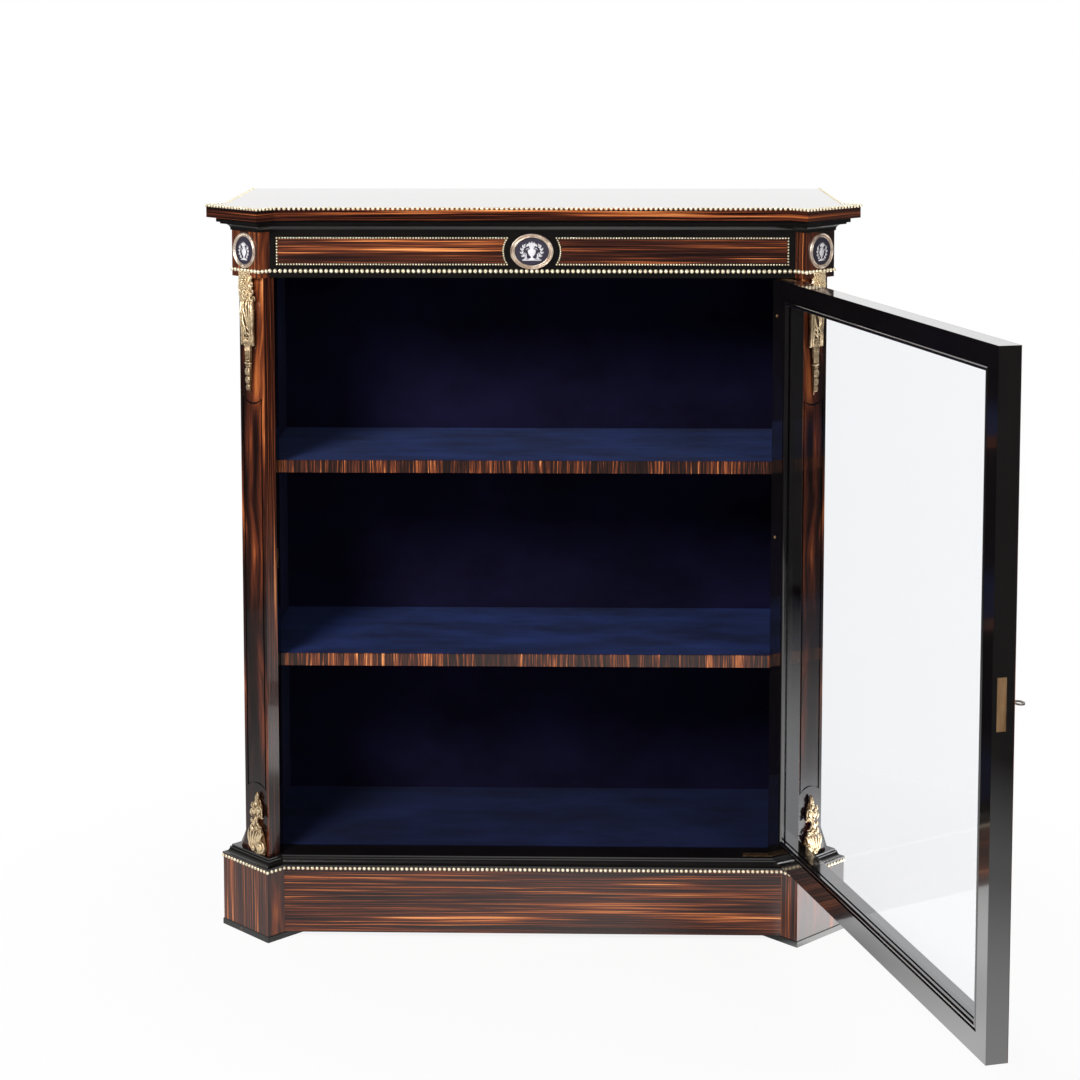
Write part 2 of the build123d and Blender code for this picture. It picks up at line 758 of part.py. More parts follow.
# Lock, as it sits in the shut door's lock stile
key_x = door_free_edge + key_backset
selvedge_back = door_free_edge + selvedge_thickness
case_right = selvedge_back + lock_case_depth
case_front = selvedge_y - lock_case_thickness / 2
case_back = selvedge_y + lock_case_thickness / 2
case_half_height = lock_case_height / 2
selvedge = block(
    door_free_edge, selvedge_back, selvedge_y - selvedge_width / 2, selvedge_y + selvedge_width / 2,
    selvedge_level - selvedge_height / 2, selvedge_level + selvedge_height / 2,
)
case_bottom, case_top = selvedge_level - case_half_height, selvedge_level + case_half_height
lock_case = block(selvedge_back, case_right, case_front, case_back, case_bottom, case_top)
bolt_left = door_free_edge + bolt_sunk
bolt_right = bolt_left + bolt_length
bolt_half = bolt_width / 2
bolt_top = bolt_low + bolt_height
bolt = block(bolt_left, bolt_right, selvedge_y - bolt_half, selvedge_y + bolt_half, bolt_low, bolt_top)
bolt_channel = block(
    door_free_edge - overrun, bolt_right + bolt_fit, selvedge_y - bolt_half - bolt_fit,
    selvedge_y + bolt_half + bolt_fit, bolt_low - bolt_fit, bolt_top + bolt_fit,
)
chamber_radius = key_bit_reach + key_room
key_turn_axis = Rot(90, 0, 0)
chamber_front = case_front + lock_wall
chamber_depth = case_back - case_front - 2 * lock_wall
key_chamber = Pos(key_x, chamber_front, lock_level) * key_turn_axis * Cylinder(
    chamber_radius, chamber_depth, align=pin_sides_down
)
selvedge_screws = []
for side in (-1, 1):
    reach = selvedge_height / 2 - selvedge_screw_inset
    selvedge_screws.append(Pos(door_free_edge, selvedge_y, selvedge_level + side * reach) * Rot(0, -90, 0))


def key_shaft(radius, end):
    """A round bar on the key's axis, from the outside of the escutcheon to a depth."""
    start = door_front - veneer - escutcheon_thickness
    place = Pos(key_x, start, lock_level) * key_turn_axis
    return place * Cylinder(radius, end - start, align=pin_sides_down)


chamber_back = chamber_front + chamber_depth
key_hole = key_shaft(key_radius + key_fit, chamber_front + overrun)
lock_body = selvedge + lock_case - bolt_channel - key_chamber - key_hole
parts["lock"] = swing(drill(lock_body, selvedge_screws), door_rest_angle)
parts["lock_bolt"] = swing(bolt, door_rest_angle)


def key():
    """A small key: ring bow level at rest, collar, shank and bit."""
    face = door_front - veneer - escutcheon_thickness
    shank = key_shaft(key_radius, chamber_back - key_fit)
    collar = Pos(key_x, face, lock_level) * key_turn_axis * Cylinder(
        key_collar_radius, key_collar_length, align=pin_sides
    )
    bow_start = face - key_collar_length - key_neck_length
    bow_place = Pos(key_x, bow_start - key_bow_length / 2, lock_level - key_bow_thickness / 2)
    bow = Ellipse(key_bow_width / 2, key_bow_length / 2)
    bow -= Ellipse(key_bow_width / 2 - key_bow_ring, key_bow_length / 2 - key_bow_ring)
    neck = block(
        key_x - key_radius, key_x + key_radius, bow_start - key_bow_ring / 2, face - key_collar_length,
        lock_level - key_bow_thickness / 2, lock_level + key_bow_thickness / 2,
    )
    bit = block(
        key_x, key_x + key_bit_reach, chamber_front + key_room, chamber_back - key_room,
        lock_level - key_bit_height / 2, lock_level + key_bit_height / 2,
    )
    return shank + collar + extrude(bow_place * bow, amount=key_bow_thickness) + neck + bit


parts["key"] = swing(key(), door_rest_angle)

# Shoes of the door: plates with bored ends that turn on the pins
shoe_bore = pivot_pin_radius + pivot_fit
well_radius = shoe_bore + shoe_room
shoe_left = plate_left + pivot_plate_beyond
low_shoe = block(shoe_left, pivot_x, plate_front, plate_back, door_bottom, door_bottom + shoe_thickness)
high_shoe = block(shoe_left, pivot_x, plate_front, plate_back, door_top - shoe_thickness, door_top)
shoe_end = Cylinder(pivot_plate_width / 2, shoe_thickness, align=pin_sides)
low_shoe += Pos(pivot_x, pivot_y, door_bottom) * shoe_end
high_shoe += Pos(pivot_x, pivot_y, door_top - shoe_thickness) * shoe_end
bore_length = shoe_thickness + 2 * overrun
low_bore = Pos(pivot_x, pivot_y, door_bottom - overrun) * Cylinder(shoe_bore, bore_length, align=pin_sides)
high_bore_place = Pos(pivot_x, pivot_y, door_top + overrun)
high_bore = high_bore_place * Cylinder(shoe_bore, bore_length, align=pin_sides_down)
well_depth = pivot_pin_length + overrun
low_well = Pos(pivot_x, pivot_y, door_bottom) * Cylinder(well_radius, well_depth, align=pin_sides)
high_well = Pos(pivot_x, pivot_y, door_top) * Cylinder(well_radius, well_depth, align=pin_sides_down)
shoe_screw_x = [shoe_left + plate_screw_inset, pivot_x - pivot_plate_width]
shoe_screws = [Pos(x, pivot_y, door_bottom) * Rot(180, 0, 0) for x in shoe_screw_x]
shoe_screws += [Pos(x, pivot_y, door_top) for x in shoe_screw_x]
shoes = [drill(low_shoe - low_bore, shoe_screws[:2]), drill(high_shoe - high_bore, shoe_screws[2:])]
parts["pivot_shoes"] = Compound(children=[swing(shoe, door_rest_angle) for shoe in shoes])


def stud(level, room=0.0):
    """A round-headed brass stud in the inner face of the hinge stile."""
    place = Pos(pivot_x - stud_inset, door_back, level) * Rot(-90, 0, 0)
    head = Cylinder(stud_head_radius, stud_head_height, align=pin_sides)
    head = fillet(head.faces().sort_by(Axis.Z)[-1].edges(), radius=stud_head_height / 2)
    shank = Cylinder(screw_core_radius + room, screw_core_length, align=pin_sides_down)
    return place * (shank if room else head + shank)


rebate = block(
    sight_left - rebate_width, sight_right + rebate_width, glass_front, door_back + overrun,
    sight_bottom - rebate_width, sight_top + rebate_width,
)


def door_members():
    """The door's frame: a round-ended hinge stile, a lock stile and two rails between them."""
    hinge_stile = block(sight_right, pivot_x, door_front, door_back, door_bottom, door_top)
    round_end = Cylinder(door_thickness / 2, door_top - door_bottom, align=pin_sides)
    hinge_stile += Pos(pivot_x, pivot_y, door_bottom) * round_end
    hinge_stile -= low_shoe + high_shoe + low_well + high_well
    hinge_stile = drill(hinge_stile, shoe_screws)
    for level in stud_levels:
        hinge_stile -= stud(level, screw_fit)
    lock_stile = block(door_free_edge, sight_left, door_front, door_back, door_bottom, door_top)
    lock_stile = drill(lock_stile - selvedge - lock_case - key_hole, selvedge_screws)
    return {
        "door_stile_hinge": hinge_stile,
        "door_stile_lock": lock_stile,
        "door_rail_top": block(sight_left, sight_right, door_front, door_back, sight_top, door_top),
        "door_rail_bottom": block(sight_left, sight_right, door_front, door_back, door_bottom, sight_bottom),
    }


for member_name, member in door_members().items():
    parts[member_name] = swing(member - rebate, door_rest_angle)

edge = rebate_width - glass_gap
glass = block(
    sight_left - edge, sight_right + edge, glass_front, glass_back, sight_bottom - edge, sight_top + edge
)
parts["door_glass"] = swing(glass, door_rest_angle)


def glazing_bead_section():
    """A bead with a sunk quirk beside the frame; X runs from the sight edge into the frame."""
    height = door_back - glass_back
    nose_radius = (rebate_width - bead_quirk) / 2
    nose_left, nose_right = 0.0, rebate_width - bead_quirk
    edges = [
        Line((nose_left, bead_shoulder), (nose_left, 0)),
        Line((nose_left, 0), (rebate_width, 0)),
        Line((rebate_width, 0), (rebate_width, bead_shoulder)),
        Line((rebate_width, bead_shoulder), (nose_right, bead_shoulder)),
        ThreePointArc((nose_right, bead_shoulder), (nose_radius, height), (nose_left, bead_shoulder)),
    ]
    return make_face(edges)


glazing = door_ring(sight_left, sight_right, sight_bottom, sight_top, glass_back, glazing_bead_section())
parts["glazing_beads"] = swing(glazing, door_rest_angle)

front_half = Pos(0, -door_bead_radius) * Rectangle(2 * door_bead_radius, 2 * door_bead_radius)
half_round = Circle(door_bead_radius) & front_half
bead_out = door_bead_inset + door_bead_radius
beading = door_ring(
    sight_left - bead_out, sight_right + bead_out, sight_bottom - bead_out, sight_top + bead_out,
    door_front, half_round,
)
parts["door_beading"] = swing(beading, door_rest_angle)

# Veneer on the outer face of the door, outside and inside its beading
veneer_front = door_front - veneer
veneer_field = block(door_free_edge, pivot_x, veneer_front, door_front, door_bottom, door_top)
veneer_room = block(
    sight_left - bead_out - door_bead_radius, sight_right + bead_out + door_bead_radius,
    veneer_front, door_front,
    sight_bottom - bead_out - door_bead_radius, sight_top + bead_out + door_bead_radius,
)
parts["door_veneer"] = swing(veneer_field - veneer_room - key_hole, door_rest_angle)
escutcheon = Plane(origin=(key_x, veneer_front, lock_level), x_dir=(1, 0, 0), z_dir=(0, -1, 0)) * Ellipse(
    escutcheon_width / 2, escutcheon_height / 2
)
parts["escutcheon"] = swing(extrude(escutcheon, amount=escutcheon_thickness) - key_hole, door_rest_angle)
fasteners = [screw(place) for place in selvedge_screws + shoe_screws]
fasteners += [stud(level) for level in stud_levels]
parts["door_screws"] = Compound(children=[swing(piece, door_rest_angle) for piece in fasteners])

# Everything is moved so that the origin is under the middle of the whole part
whole = Compound(children=[Compound(shape.solids()) for shape in parts.values()]).bounding_box()
origin_shift = Pos(-(whole.min.X + whole.max.X) / 2, -(whole.min.Y + whole.max.Y) / 2, -whole.min.Z)
for node, shape in parts.items():
    moved = origin_shift * Compound(shape.solids())
    export_step(moved, "parts/" + node + ".step")
print(len(parts), "nodes", "origin shift", origin_shift.position)
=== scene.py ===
# %% [markdown]
# # Dressing a display cabinet
# This is a nineteenth-century cabinet of dark, streaky veneer and black polish, with gilt bronze mounts,
# rows of gilt beads, three small plaques, a blue velvet interior and one glazed door that hangs open.
# Its construction comes ready made from CAD. Here each surface gets its finish, and the ornament that
# the CAD holds only as plain castings is modelled in full. We start by loading that fixed frame.

# %% Load the frame
import json
from math import atan2, cos, pi, radians, sin, sqrt

import bmesh
import bpy
from mathutils import Matrix, Vector


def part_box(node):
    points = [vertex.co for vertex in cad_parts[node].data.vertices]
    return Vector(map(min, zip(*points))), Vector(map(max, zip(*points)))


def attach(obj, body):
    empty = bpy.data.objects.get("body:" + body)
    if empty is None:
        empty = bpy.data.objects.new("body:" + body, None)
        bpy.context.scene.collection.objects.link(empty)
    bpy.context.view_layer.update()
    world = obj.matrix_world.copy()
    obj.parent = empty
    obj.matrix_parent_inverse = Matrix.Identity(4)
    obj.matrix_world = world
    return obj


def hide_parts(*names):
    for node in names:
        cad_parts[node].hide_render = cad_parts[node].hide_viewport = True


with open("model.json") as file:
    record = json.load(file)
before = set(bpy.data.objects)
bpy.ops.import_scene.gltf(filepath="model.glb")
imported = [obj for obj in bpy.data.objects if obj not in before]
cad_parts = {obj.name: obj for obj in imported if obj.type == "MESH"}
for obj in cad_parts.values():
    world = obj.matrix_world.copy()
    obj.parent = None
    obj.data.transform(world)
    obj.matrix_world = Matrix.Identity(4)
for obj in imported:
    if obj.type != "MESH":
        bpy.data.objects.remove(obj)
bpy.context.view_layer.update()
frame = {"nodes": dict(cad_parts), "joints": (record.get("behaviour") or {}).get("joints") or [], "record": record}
nodes = frame["nodes"]

# %% [markdown]
# The ornament is measured out in millimetres from the middle of the case, the front-most corner of the
# plinth and the floor. The top slab is symmetric and its depth behind that corner is known, so its box
# tells how far those measures lie from the frame's origin, and nothing has to be fitted by eye.
# Every storey has canted corners. Its plan is given by the X at which the canted face, the return to the
# front and the return to the side would cross the line Y = 0, and then by its front and its side.

# %% Measures of the case
MM = 0.001
SLAB_BACK = 403.0
CASE_BACK = 385.0
PLINTH_PLAN = (383.0, 387.2, 537.6, 23.7, 438.7)
PILLAR_PLAN = (360.0, 410.0, 489.0)
FRIEZE_PLAN = (371.0, 410.0, 497.0, 34.0, 430.0)
TOP_PLAN = (395.0, 383.5, 551.0, 16.8, 447.2)
OVAL_LEVEL, ROUND_LEVEL = 1012.7, 1013.2
slab_low, slab_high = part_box("top_slab")
case_origin = Vector(((slab_low.x + slab_high.x) / 2, slab_high.y - SLAB_BACK * MM, 0))


def at(x, y, z):
    """A point given in millimetres of the case, in the frame."""
    return case_origin + Vector((x, y, z)) * MM


print("case origin", [round(value, 4) for value in case_origin])

# %% [markdown]
# The camera stands where the photographer's did: a little right of the middle and above the top, turned
# slightly down. The photograph was cropped off centre, which a lens shift reproduces without turning
# the camera, so upright edges keep the direction that they have in the photograph.

# %% Camera
yaw, pitch, roll = radians(-1.473), radians(5.599), radians(-0.082)
look = Vector((sin(yaw) * cos(pitch), cos(yaw) * cos(pitch), -sin(pitch)))
level = Vector((cos(yaw), -sin(yaw), 0))
upward = level.cross(look)
camera_right = level * cos(roll) + upward * sin(roll)
camera_up = upward * cos(roll) - level * sin(roll)
lens = bpy.data.cameras.new("view")
lens.lens = 79.3
lens.sensor_width = 36
lens.shift_x, lens.shift_y = 0.0275, -0.267
camera = bpy.data.objects.new("view", lens)
bpy.context.scene.collection.objects.link(camera)
camera.matrix_world = Matrix.Translation(at(56.2, -3349.4, 1344.2)) @ Matrix(
    (camera_right, camera_up, -look)
).transposed().to_4x4()
bpy.context.scene.camera = camera
bpy.context.scene.view_settings.view_transform = "Standard"
print("camera at", [round(value, 3) for value in camera.location])

# %% [markdown]
# Shader arithmetic is easier to read as Python. A `Wire` wraps one output of a node, and its operators
# add Math nodes behind the scenes, so `wire * 2 + 1` makes two nodes and links them.


# %% Shader arithmetic
class Wire:
    """One value of a node tree, on which Python's operators work."""

    def __init__(self, tree, socket):
        self.tree, self.socket = tree, socket

    def math(self, operation, *others, flip=False):
        node = self.tree.nodes.new("ShaderNodeMath")
        node.operation = operation
        values = [self, *others]
        if flip:
            values.reverse()
        for socket, value in zip(node.inputs, values):
            connect(self.tree, socket, value)
        return Wire(self.tree, node.outputs[0])

    def __add__(self, other):
        return self.math("ADD", other)

    def __sub__(self, other):
        return self.math("SUBTRACT", other)

    def __rsub__(self, other):
        return self.math("SUBTRACT", other, flip=True)

    def __mul__(self, other):
        return self.math("MULTIPLY", other)

    def __truediv__(self, other):
        return self.math("DIVIDE", other)

    def __gt__(self, other):
        return self.math("GREATER_THAN", other)

    def __lt__(self, other):
        return self.math("LESS_THAN", other)

    def __abs__(self):
        return self.math("ABSOLUTE")

    __radd__ = __add__
    __rmul__ = __mul__


def connect(tree, socket, value):
    """Links a wire to a socket, or sets the socket's own value."""
    if isinstance(value, Wire):
        tree.links.new(value.socket, socket)
    else:
        socket.default_value = value


# %% [markdown]
# A `Finish` is a material under construction. It starts as one Principled shader, `node` adds any other
# node by its name, and the rest are short ways to the nodes that most surfaces need.


# %% Finishes
class Finish:
    """A material that is put together from nodes."""

    def __init__(self, name, **shader):
        self.material = bpy.data.materials.new(name)
        self.material.use_nodes = True
        self.tree = self.material.node_tree
        self.tree.nodes.clear()
        self.shader = self.tree.nodes.new("ShaderNodeBsdfPrincipled")
        self.output = self.tree.nodes.new("ShaderNodeOutputMaterial")
        self.tree.links.new(self.shader.outputs[0], self.output.inputs["Surface"])
        self.set(**shader)

    def set(self, **values):
        """Values or wires of the shader, as base_color=... for its Base Color."""
        for name, value in values.items():
            title = name.replace("_", " ").title().replace("Ior", "IOR")
            if not isinstance(value, Wire) and not isinstance(value, (int, float)):
                value = (*value, 1.0)[:4] if title != "Normal" else value
            connect(self.tree, self.shader.inputs[title], value)
        return self

    def node(self, kind, inputs=None, output=0, **settings):
        """Adds a node, with its settings first and then its inputs, and gives one of its outputs."""
        node = self.tree.nodes.new("ShaderNode" + kind)
        for name, value in settings.items():
            setattr(node, name, value)
        for name, value in (inputs or {}).items():
            connect(self.tree, node.inputs[name], value)
        return Wire(self.tree, node.outputs[output])

    def place(self):
        """The three Object coordinates of the surface, in metres."""
        point = self.node("TexCoord", output="Object")
        return [self.node("SeparateXYZ", {0: point}, output=axis) for axis in range(3)]

    def point(self, x, y, z):
        return self.node("CombineXYZ", {0: x, 1: y, 2: z})

    def noise(self, vector, scale, detail=2.0, roughness=0.5):
        values = {"Vector": vector, "Scale": scale, "Detail": detail, "Roughness": roughness}
        return self.node("TexNoise", values)

    def between(self, share, low, high):
        """Stretches the part of a value between two limits to 0 to 1."""
        return self.node("MapRange", {0: share, 1: low, 2: high}, clamp=True)

    def ramp(self, share, stops):
        """Colours along a value, each given with its position."""
        ramp = self.tree.nodes.new("ShaderNodeValToRGB")
        elements = ramp.color_ramp.elements
        while len(elements) < len(stops):
            elements.new(0.5)
        for element, (position, colour) in zip(elements, stops):
            element.position = position
            element.color = (*colour, 1.0)
        connect(self.tree, ramp.inputs[0], share)
        return Wire(self.tree, ramp.outputs[0])

    def mix(self, share, first, second):
        """A colour part of the way from one to another."""
        node = self.tree.nodes.new("ShaderNodeMix")
        node.data_type = "RGBA"
        for socket, value in ((0, share), (6, first), (7, second)):
            if isinstance(value, tuple):
                value = (*value, 1.0)
            connect(self.tree, node.inputs[socket], value)
        return Wire(self.tree, node.outputs[2])

    def bump(self, height, strength, distance):
        values = {"Height": height, "Strength": strength, "Distance": distance}
        self.set(normal=self.node("Bump", values))
        return self

    def blend(self, share, first, second):
        """Shows a mix of two shaders in place of the Principled shader alone."""
        mixed = self.node("MixShader", {0: share, 1: first, 2: second})
        self.tree.links.new(mixed.socket, self.output.inputs["Surface"])


# %% [markdown]
# Coromandel veneer is nearly black, with long wavering streaks from red-brown to bright orange. Each piece
# is sliced along the trunk, so its pattern is noise that is drawn out hundreds of times longer
# along the grain than across it. Only the two directions differ from piece to piece: the function
# takes the way along the grain and the way across it as wires, and lays the same wood on all.


# %% Coromandel veneer
VENEER_TONES = [
    (0.34, (0.0065, 0.0020, 0.0016)),
    (0.45, (0.0200, 0.0052, 0.0032)),
    (0.53, (0.0560, 0.0130, 0.0065)),
    (0.61, (0.1500, 0.0340, 0.0120)),
    (0.70, (0.4200, 0.1150, 0.0300)),
    (0.82, (0.8200, 0.3300, 0.1100)),
]


def lay_veneer(finish, along, across, lift=0.0):
    """The veneer's colour for a surface, from the ways along and across its grain in metres."""
    # Waves some 40 cm long bend the grain by a few millimetres
    slow = finish.point(along * 2.4, across * 14, 0.0)
    waver = across + (finish.noise(slow, 1.0, 2.0) - 0.5) * 0.008
    # Broad bands, streaks and pores, and a few bright flames
    broad = finish.noise(finish.point(along * 1.8, waver * 60, 1.7), 1.0, 1.0)
    streak = finish.noise(finish.point(along * 2.8, waver * 480, 5.1), 1.0, 2.0, 0.6)
    fine = finish.noise(finish.point(along * 8, waver * 1100, 9.3), 1.0, 2.0, 0.6)
    flame = finish.noise(finish.point(along * 2.2, waver * 150, 3.3), 1.0, 2.0, 0.7)
    flame = finish.between(flame, 0.56, 0.68)
    tone = (broad - 0.5) * 0.4 + (streak - 0.5) * 0.85 + (fine - 0.5) * 0.55 + flame * 0.2 + 0.46 + lift
    return finish.ramp(tone, VENEER_TONES), fine


def polish(finish, colour, fine, roughness=0.24, film=0.3):
    """French polish over the wood: a hard clear film on a surface whose pores barely show."""
    finish.set(base_color=colour, roughness=fine * 0.12 + roughness, coat_weight=film, coat_roughness=0.04)
    finish.set(specular_ior_level=0.32)
    return finish.bump(fine, 0.12, 0.0002).material


def flat_veneer(name, directions, lift=0.0):
    """Veneer whose grain runs one way all over a piece; directions gives both ways from a point."""
    finish = Finish(name)
    along, across = directions(*finish.place())
    colour, fine = lay_veneer(finish, along, across, lift)
    return polish(finish, colour, fine)


level_veneer = flat_veneer("coromandel_level", lambda x, y, z: (x + y * 0.2, z), 0.035)
upright_veneer = flat_veneer("coromandel_upright", lambda x, y, z: (z, x * 0.8 - y * 0.9), 0.03)
print("veneers", level_veneer.name, upright_veneer.name)

# %% [markdown]
# The top slab shows its edge band, grained along the edge, and its top, grained from end to end. The
# surface's own normal tells the two apart. On the shelves' front edges short pieces of the veneer stand
# upright side by side, which is called cross-banding, so every 45 mm or so the tone jumps.


# %% Veneer of the top slab and of the shelf edges
def slab_veneer():
    finish = Finish("coromandel_slab")
    x, y, z = finish.place()
    up = finish.node("SeparateXYZ", {0: finish.node("TexCoord", output="Normal")}, output=2) > 0.5
    colour, fine = lay_veneer(finish, x + y * 0.15 * (1.0 - up), z * (1.0 - up) + y * up, 0.03)
    return polish(finish, colour, fine, 0.05, 1.0)


def cross_banding():
    finish = Finish("coromandel_banding")
    x, y, z = finish.place()
    leaves = {"Vector": finish.point(x * 24, 0.0, 0.0), "Scale": 1.0}
    leaf_tone = finish.node("SeparateColor", {0: finish.node("TexVoronoi", leaves, output="Color")})
    colour, fine = lay_veneer(finish, z * 3 + leaf_tone * 9, x * 0.9, leaf_tone * 0.12 - 0.04)
    return polish(finish, colour, fine, 0.3)


slab_finish = slab_veneer()
banding_finish = cross_banding()
print("special veneers", slab_finish.name, banding_finish.name)

# %% [markdown]
# A pillar's canted face carries a long panel that a black line outlines. The line is a groove in the CAD,
# 1.6 mm deep, so it can be found by depth: a point that lies below the face's plane, and not beyond
# the panel's sides, is in the groove. The jamb that faces the doorway is ebonised too.


# %% Veneer of the pillars
PILLAR_CANT, PILLAR_RETURN, PILLAR_TIP = PILLAR_PLAN
JAMB_END = 371.2
GROOVE_FROM, GROOVE_TO, GROOVE_INSET = 0.12, 1.9, 5.4
pillar_face_half = (PILLAR_TIP - PILLAR_RETURN) / 2 / sqrt(2)


def pillar_veneer(side):
    """Upright veneer with the sunk black line; side is 1 for the right pillar and -1 for the left."""
    finish = Finish("coromandel_pillar_" + ("right" if side > 0 else "left"))
    x, y, z = finish.place()
    case_x = (x - case_origin.x) * side
    case_y = y - case_origin.y
    depth = (PILLAR_CANT * MM + case_y - case_x) / sqrt(2)
    along_face = abs(case_x + case_y - (PILLAR_RETURN + PILLAR_TIP) / 2 * MM) / sqrt(2)
    inside = along_face < (pillar_face_half - GROOVE_INSET) * MM
    sunk = (depth > GROOVE_FROM * MM) * (depth < GROOVE_TO * MM) * inside
    jamb = case_x < JAMB_END * MM
    colour, fine = lay_veneer(finish, z, case_x * 0.8 - case_y * 0.9, 0.01)
    black = (sunk + jamb).math("MINIMUM", 1.0)
    return polish(finish, finish.mix(black, colour, (0.004, 0.0035, 0.0035)), fine, 0.16)


pillar_finishes = {"pillar_right": pillar_veneer(1), "pillar_left": pillar_veneer(-1)}
print("pillars", list(pillar_finishes))

# %% [markdown]
# Ebonised wood is stained black and polished. Bare black would look like plastic, so the film's roughness
# varies in soft patches, and near the floor years of brooms have rubbed it brown in places.


# %% Ebonised wood
def ebonised(name, roughness=0.12, worn=0.0, film=0.3, hardness=1.5):
    finish = Finish(name, coat_weight=film, coat_ior=hardness, coat_roughness=0.05, specular_ior_level=0.4)
    x, y, z = finish.place()
    spot = finish.point(x, y, z)
    patches = finish.noise(spot, 14.0, 3.0)
    grain = finish.noise(finish.point(x * 160, y * 160, z * 160), 1.0, 3.0)
    colour = finish.mix(patches, (0.0035, 0.003, 0.003), (0.008, 0.0065, 0.006))
    if worn:
        rubbed = finish.between(finish.noise(spot, 45.0, 4.0) - z * 9, 0.56, 0.66) * worn
        colour = finish.mix(rubbed, colour, (0.11, 0.045, 0.028))
    finish.set(base_color=colour, roughness=patches * 0.1 + grain * 0.05 + roughness)
    return finish.bump(grain, 0.05, 0.0002).material


ebonised_finish = ebonised("ebonised_wood")
door_black = ebonised("ebonised_door", 0.07, film=1.0, hardness=1.9)
foot_black = ebonised("ebonised_feet", 0.2, 0.8)
print("blacks", ebonised_finish.name, door_black.name, foot_black.name)

# %% [markdown]
# The velvet is deep blue. Its pile has been brushed and pressed unevenly, so broad soft patches differ in
# tone, and a fine speckle breaks up the rest. Sheen gives the pale edge that pile has at low angles.
# Pile that lies flat on the shelves and the floor catches more light than that which hangs on the walls, and
# that light and shade are painted into the colour: one cloth in three tones, the walls' darkest as painted
# shade, the shelves' and the floor's lighter as painted light.


# %% Velvet
def velvet(name, deep, pale):
    finish = Finish(name, specular_ior_level=0.1)
    finish.set(sheen_weight=0.1, sheen_roughness=0.4, sheen_tint=(0.35, 0.45, 0.9))
    x, y, z = finish.place()
    brushed = finish.noise(finish.point(x * 7, y * 16, z * 10), 1.0, 4.0, 0.6)
    pile = finish.noise(finish.point(x, y, z), 900.0, 2.0, 0.7)
    share = finish.between(brushed * 0.75 + pile * 0.25, 0.36, 0.66)
    finish.set(base_color=finish.mix(share, deep, pale), roughness=pile * 0.1 + 0.85)
    return finish.bump(pile, 0.5, 0.0006).material


# Painted light and shade: the walls' velvet is painted dark as shade, the shelves' and the floor's lighter as
# light
shaded_wall_velvet = velvet("velvet_walls_painted_shade", (0.0026, 0.0018, 0.0105), (0.0062, 0.0052, 0.026))
shelf_velvet = velvet("velvet_shelves_painted_light", (0.0022, 0.0034, 0.0190), (0.0120, 0.0270, 0.1300))
floor_velvet = velvet("velvet_floor_painted_light", (0.0018, 0.0022, 0.0120), (0.0070, 0.0110, 0.0560))
print("velvets", shaded_wall_velvet.name, shelf_velvet.name, floor_velvet.name)

# %% [markdown]
# Gilt bronze is metal, so its colour is that of its reflections. Between bright, rubbed tops and brown
# hollows the tone wanders; on the pillars' mounts the brown of the deep hollows is painted shade. Tiny
# casting marks keep the reflections from being mirror sharp. Brass fittings are browner and drawn in one
# direction; the key is dull steel.


# %% Metals
def metal(name, rubbed, dull, roughness, mark=0.0004, stretch=(1, 1, 1), bare=1.0):
    finish = Finish(name, metallic=bare)
    spot = finish.point(*[axis * share for axis, share in zip(finish.place(), stretch)])
    tone = finish.noise(spot, 90.0, 3.0)
    marks = finish.noise(spot, 700.0, 2.0)
    share = finish.between(tone, 0.38, 0.62)
    finish.set(base_color=finish.mix(share, dull, rubbed), roughness=marks * 0.15 + roughness)
    return finish.bump(marks, 0.35, mark).material


gilt = metal("gilt_bronze", (0.98, 0.84, 0.55), (0.74, 0.54, 0.28), 0.26, bare=0.85)
bead_gilt = metal("gilt_beads", (0.99, 0.90, 0.68), (0.93, 0.80, 0.55), 0.22, 0.0001, bare=0.6)
ring_gilt = metal("gilt_rings", (0.84, 0.73, 0.62), (0.52, 0.39, 0.30), 0.3, bare=0.8)
brass = metal("worn_brass", (0.60, 0.37, 0.19), (0.33, 0.185, 0.09), 0.34, 0.0002, (1, 1, 0.15))
steel = metal("dull_steel", (0.42, 0.40, 0.37), (0.17, 0.15, 0.13), 0.35)


def mount_gilding():
    """Gilding of the pillars' mounts, with painted shade: browner and darker where a hollow lies deep behind the
    casting's front.
    """
    finish = Finish("gilt_mounts", metallic=0.75)
    x, y, z = finish.place()
    proud = (abs(x - case_origin.x) - (y - case_origin.y) - PILLAR_CANT * MM) / sqrt(2)
    spot = finish.point(x, y, z)
    tone = finish.noise(spot, 240.0, 3.0)
    marks = finish.noise(spot, 700.0, 2.0)
    # Painted shade: parts that lie deep behind the casting's front are mixed to a dark brown
    raised = finish.between(proud + (tone - 0.5) * 0.009, 0.0035, 0.0085)
    colour = finish.mix(raised, (0.18, 0.095, 0.04), (0.86, 0.68, 0.43))
    finish.set(base_color=colour, roughness=marks * 0.15 + 0.3)
    return finish.bump(tone * 1.5 + marks * 0.5, 0.45, 0.0012).material


mount_gilt = mount_gilding()
print("metals", gilt.name, bead_gilt.name, mount_gilt.name, brass.name, steel.name)

# %% [markdown]
# The plaques are blue-black ceramic with white relief, both unglazed but smooth. The pane is thin clear
# glass: letting plain light straight through and adding only the surface's reflection keeps it
# bright without slowing the render.


# %% Ceramic, glass and plain wood
def matt(name, first, second, scale, roughness):
    finish = Finish(name, specular_ior_level=0.35)
    tone = finish.noise(finish.point(*finish.place()), scale, 3.0)
    finish.set(base_color=finish.mix(tone, first, second), roughness=tone * 0.1 + roughness)
    return finish.bump(tone, 0.08, 0.0003).material


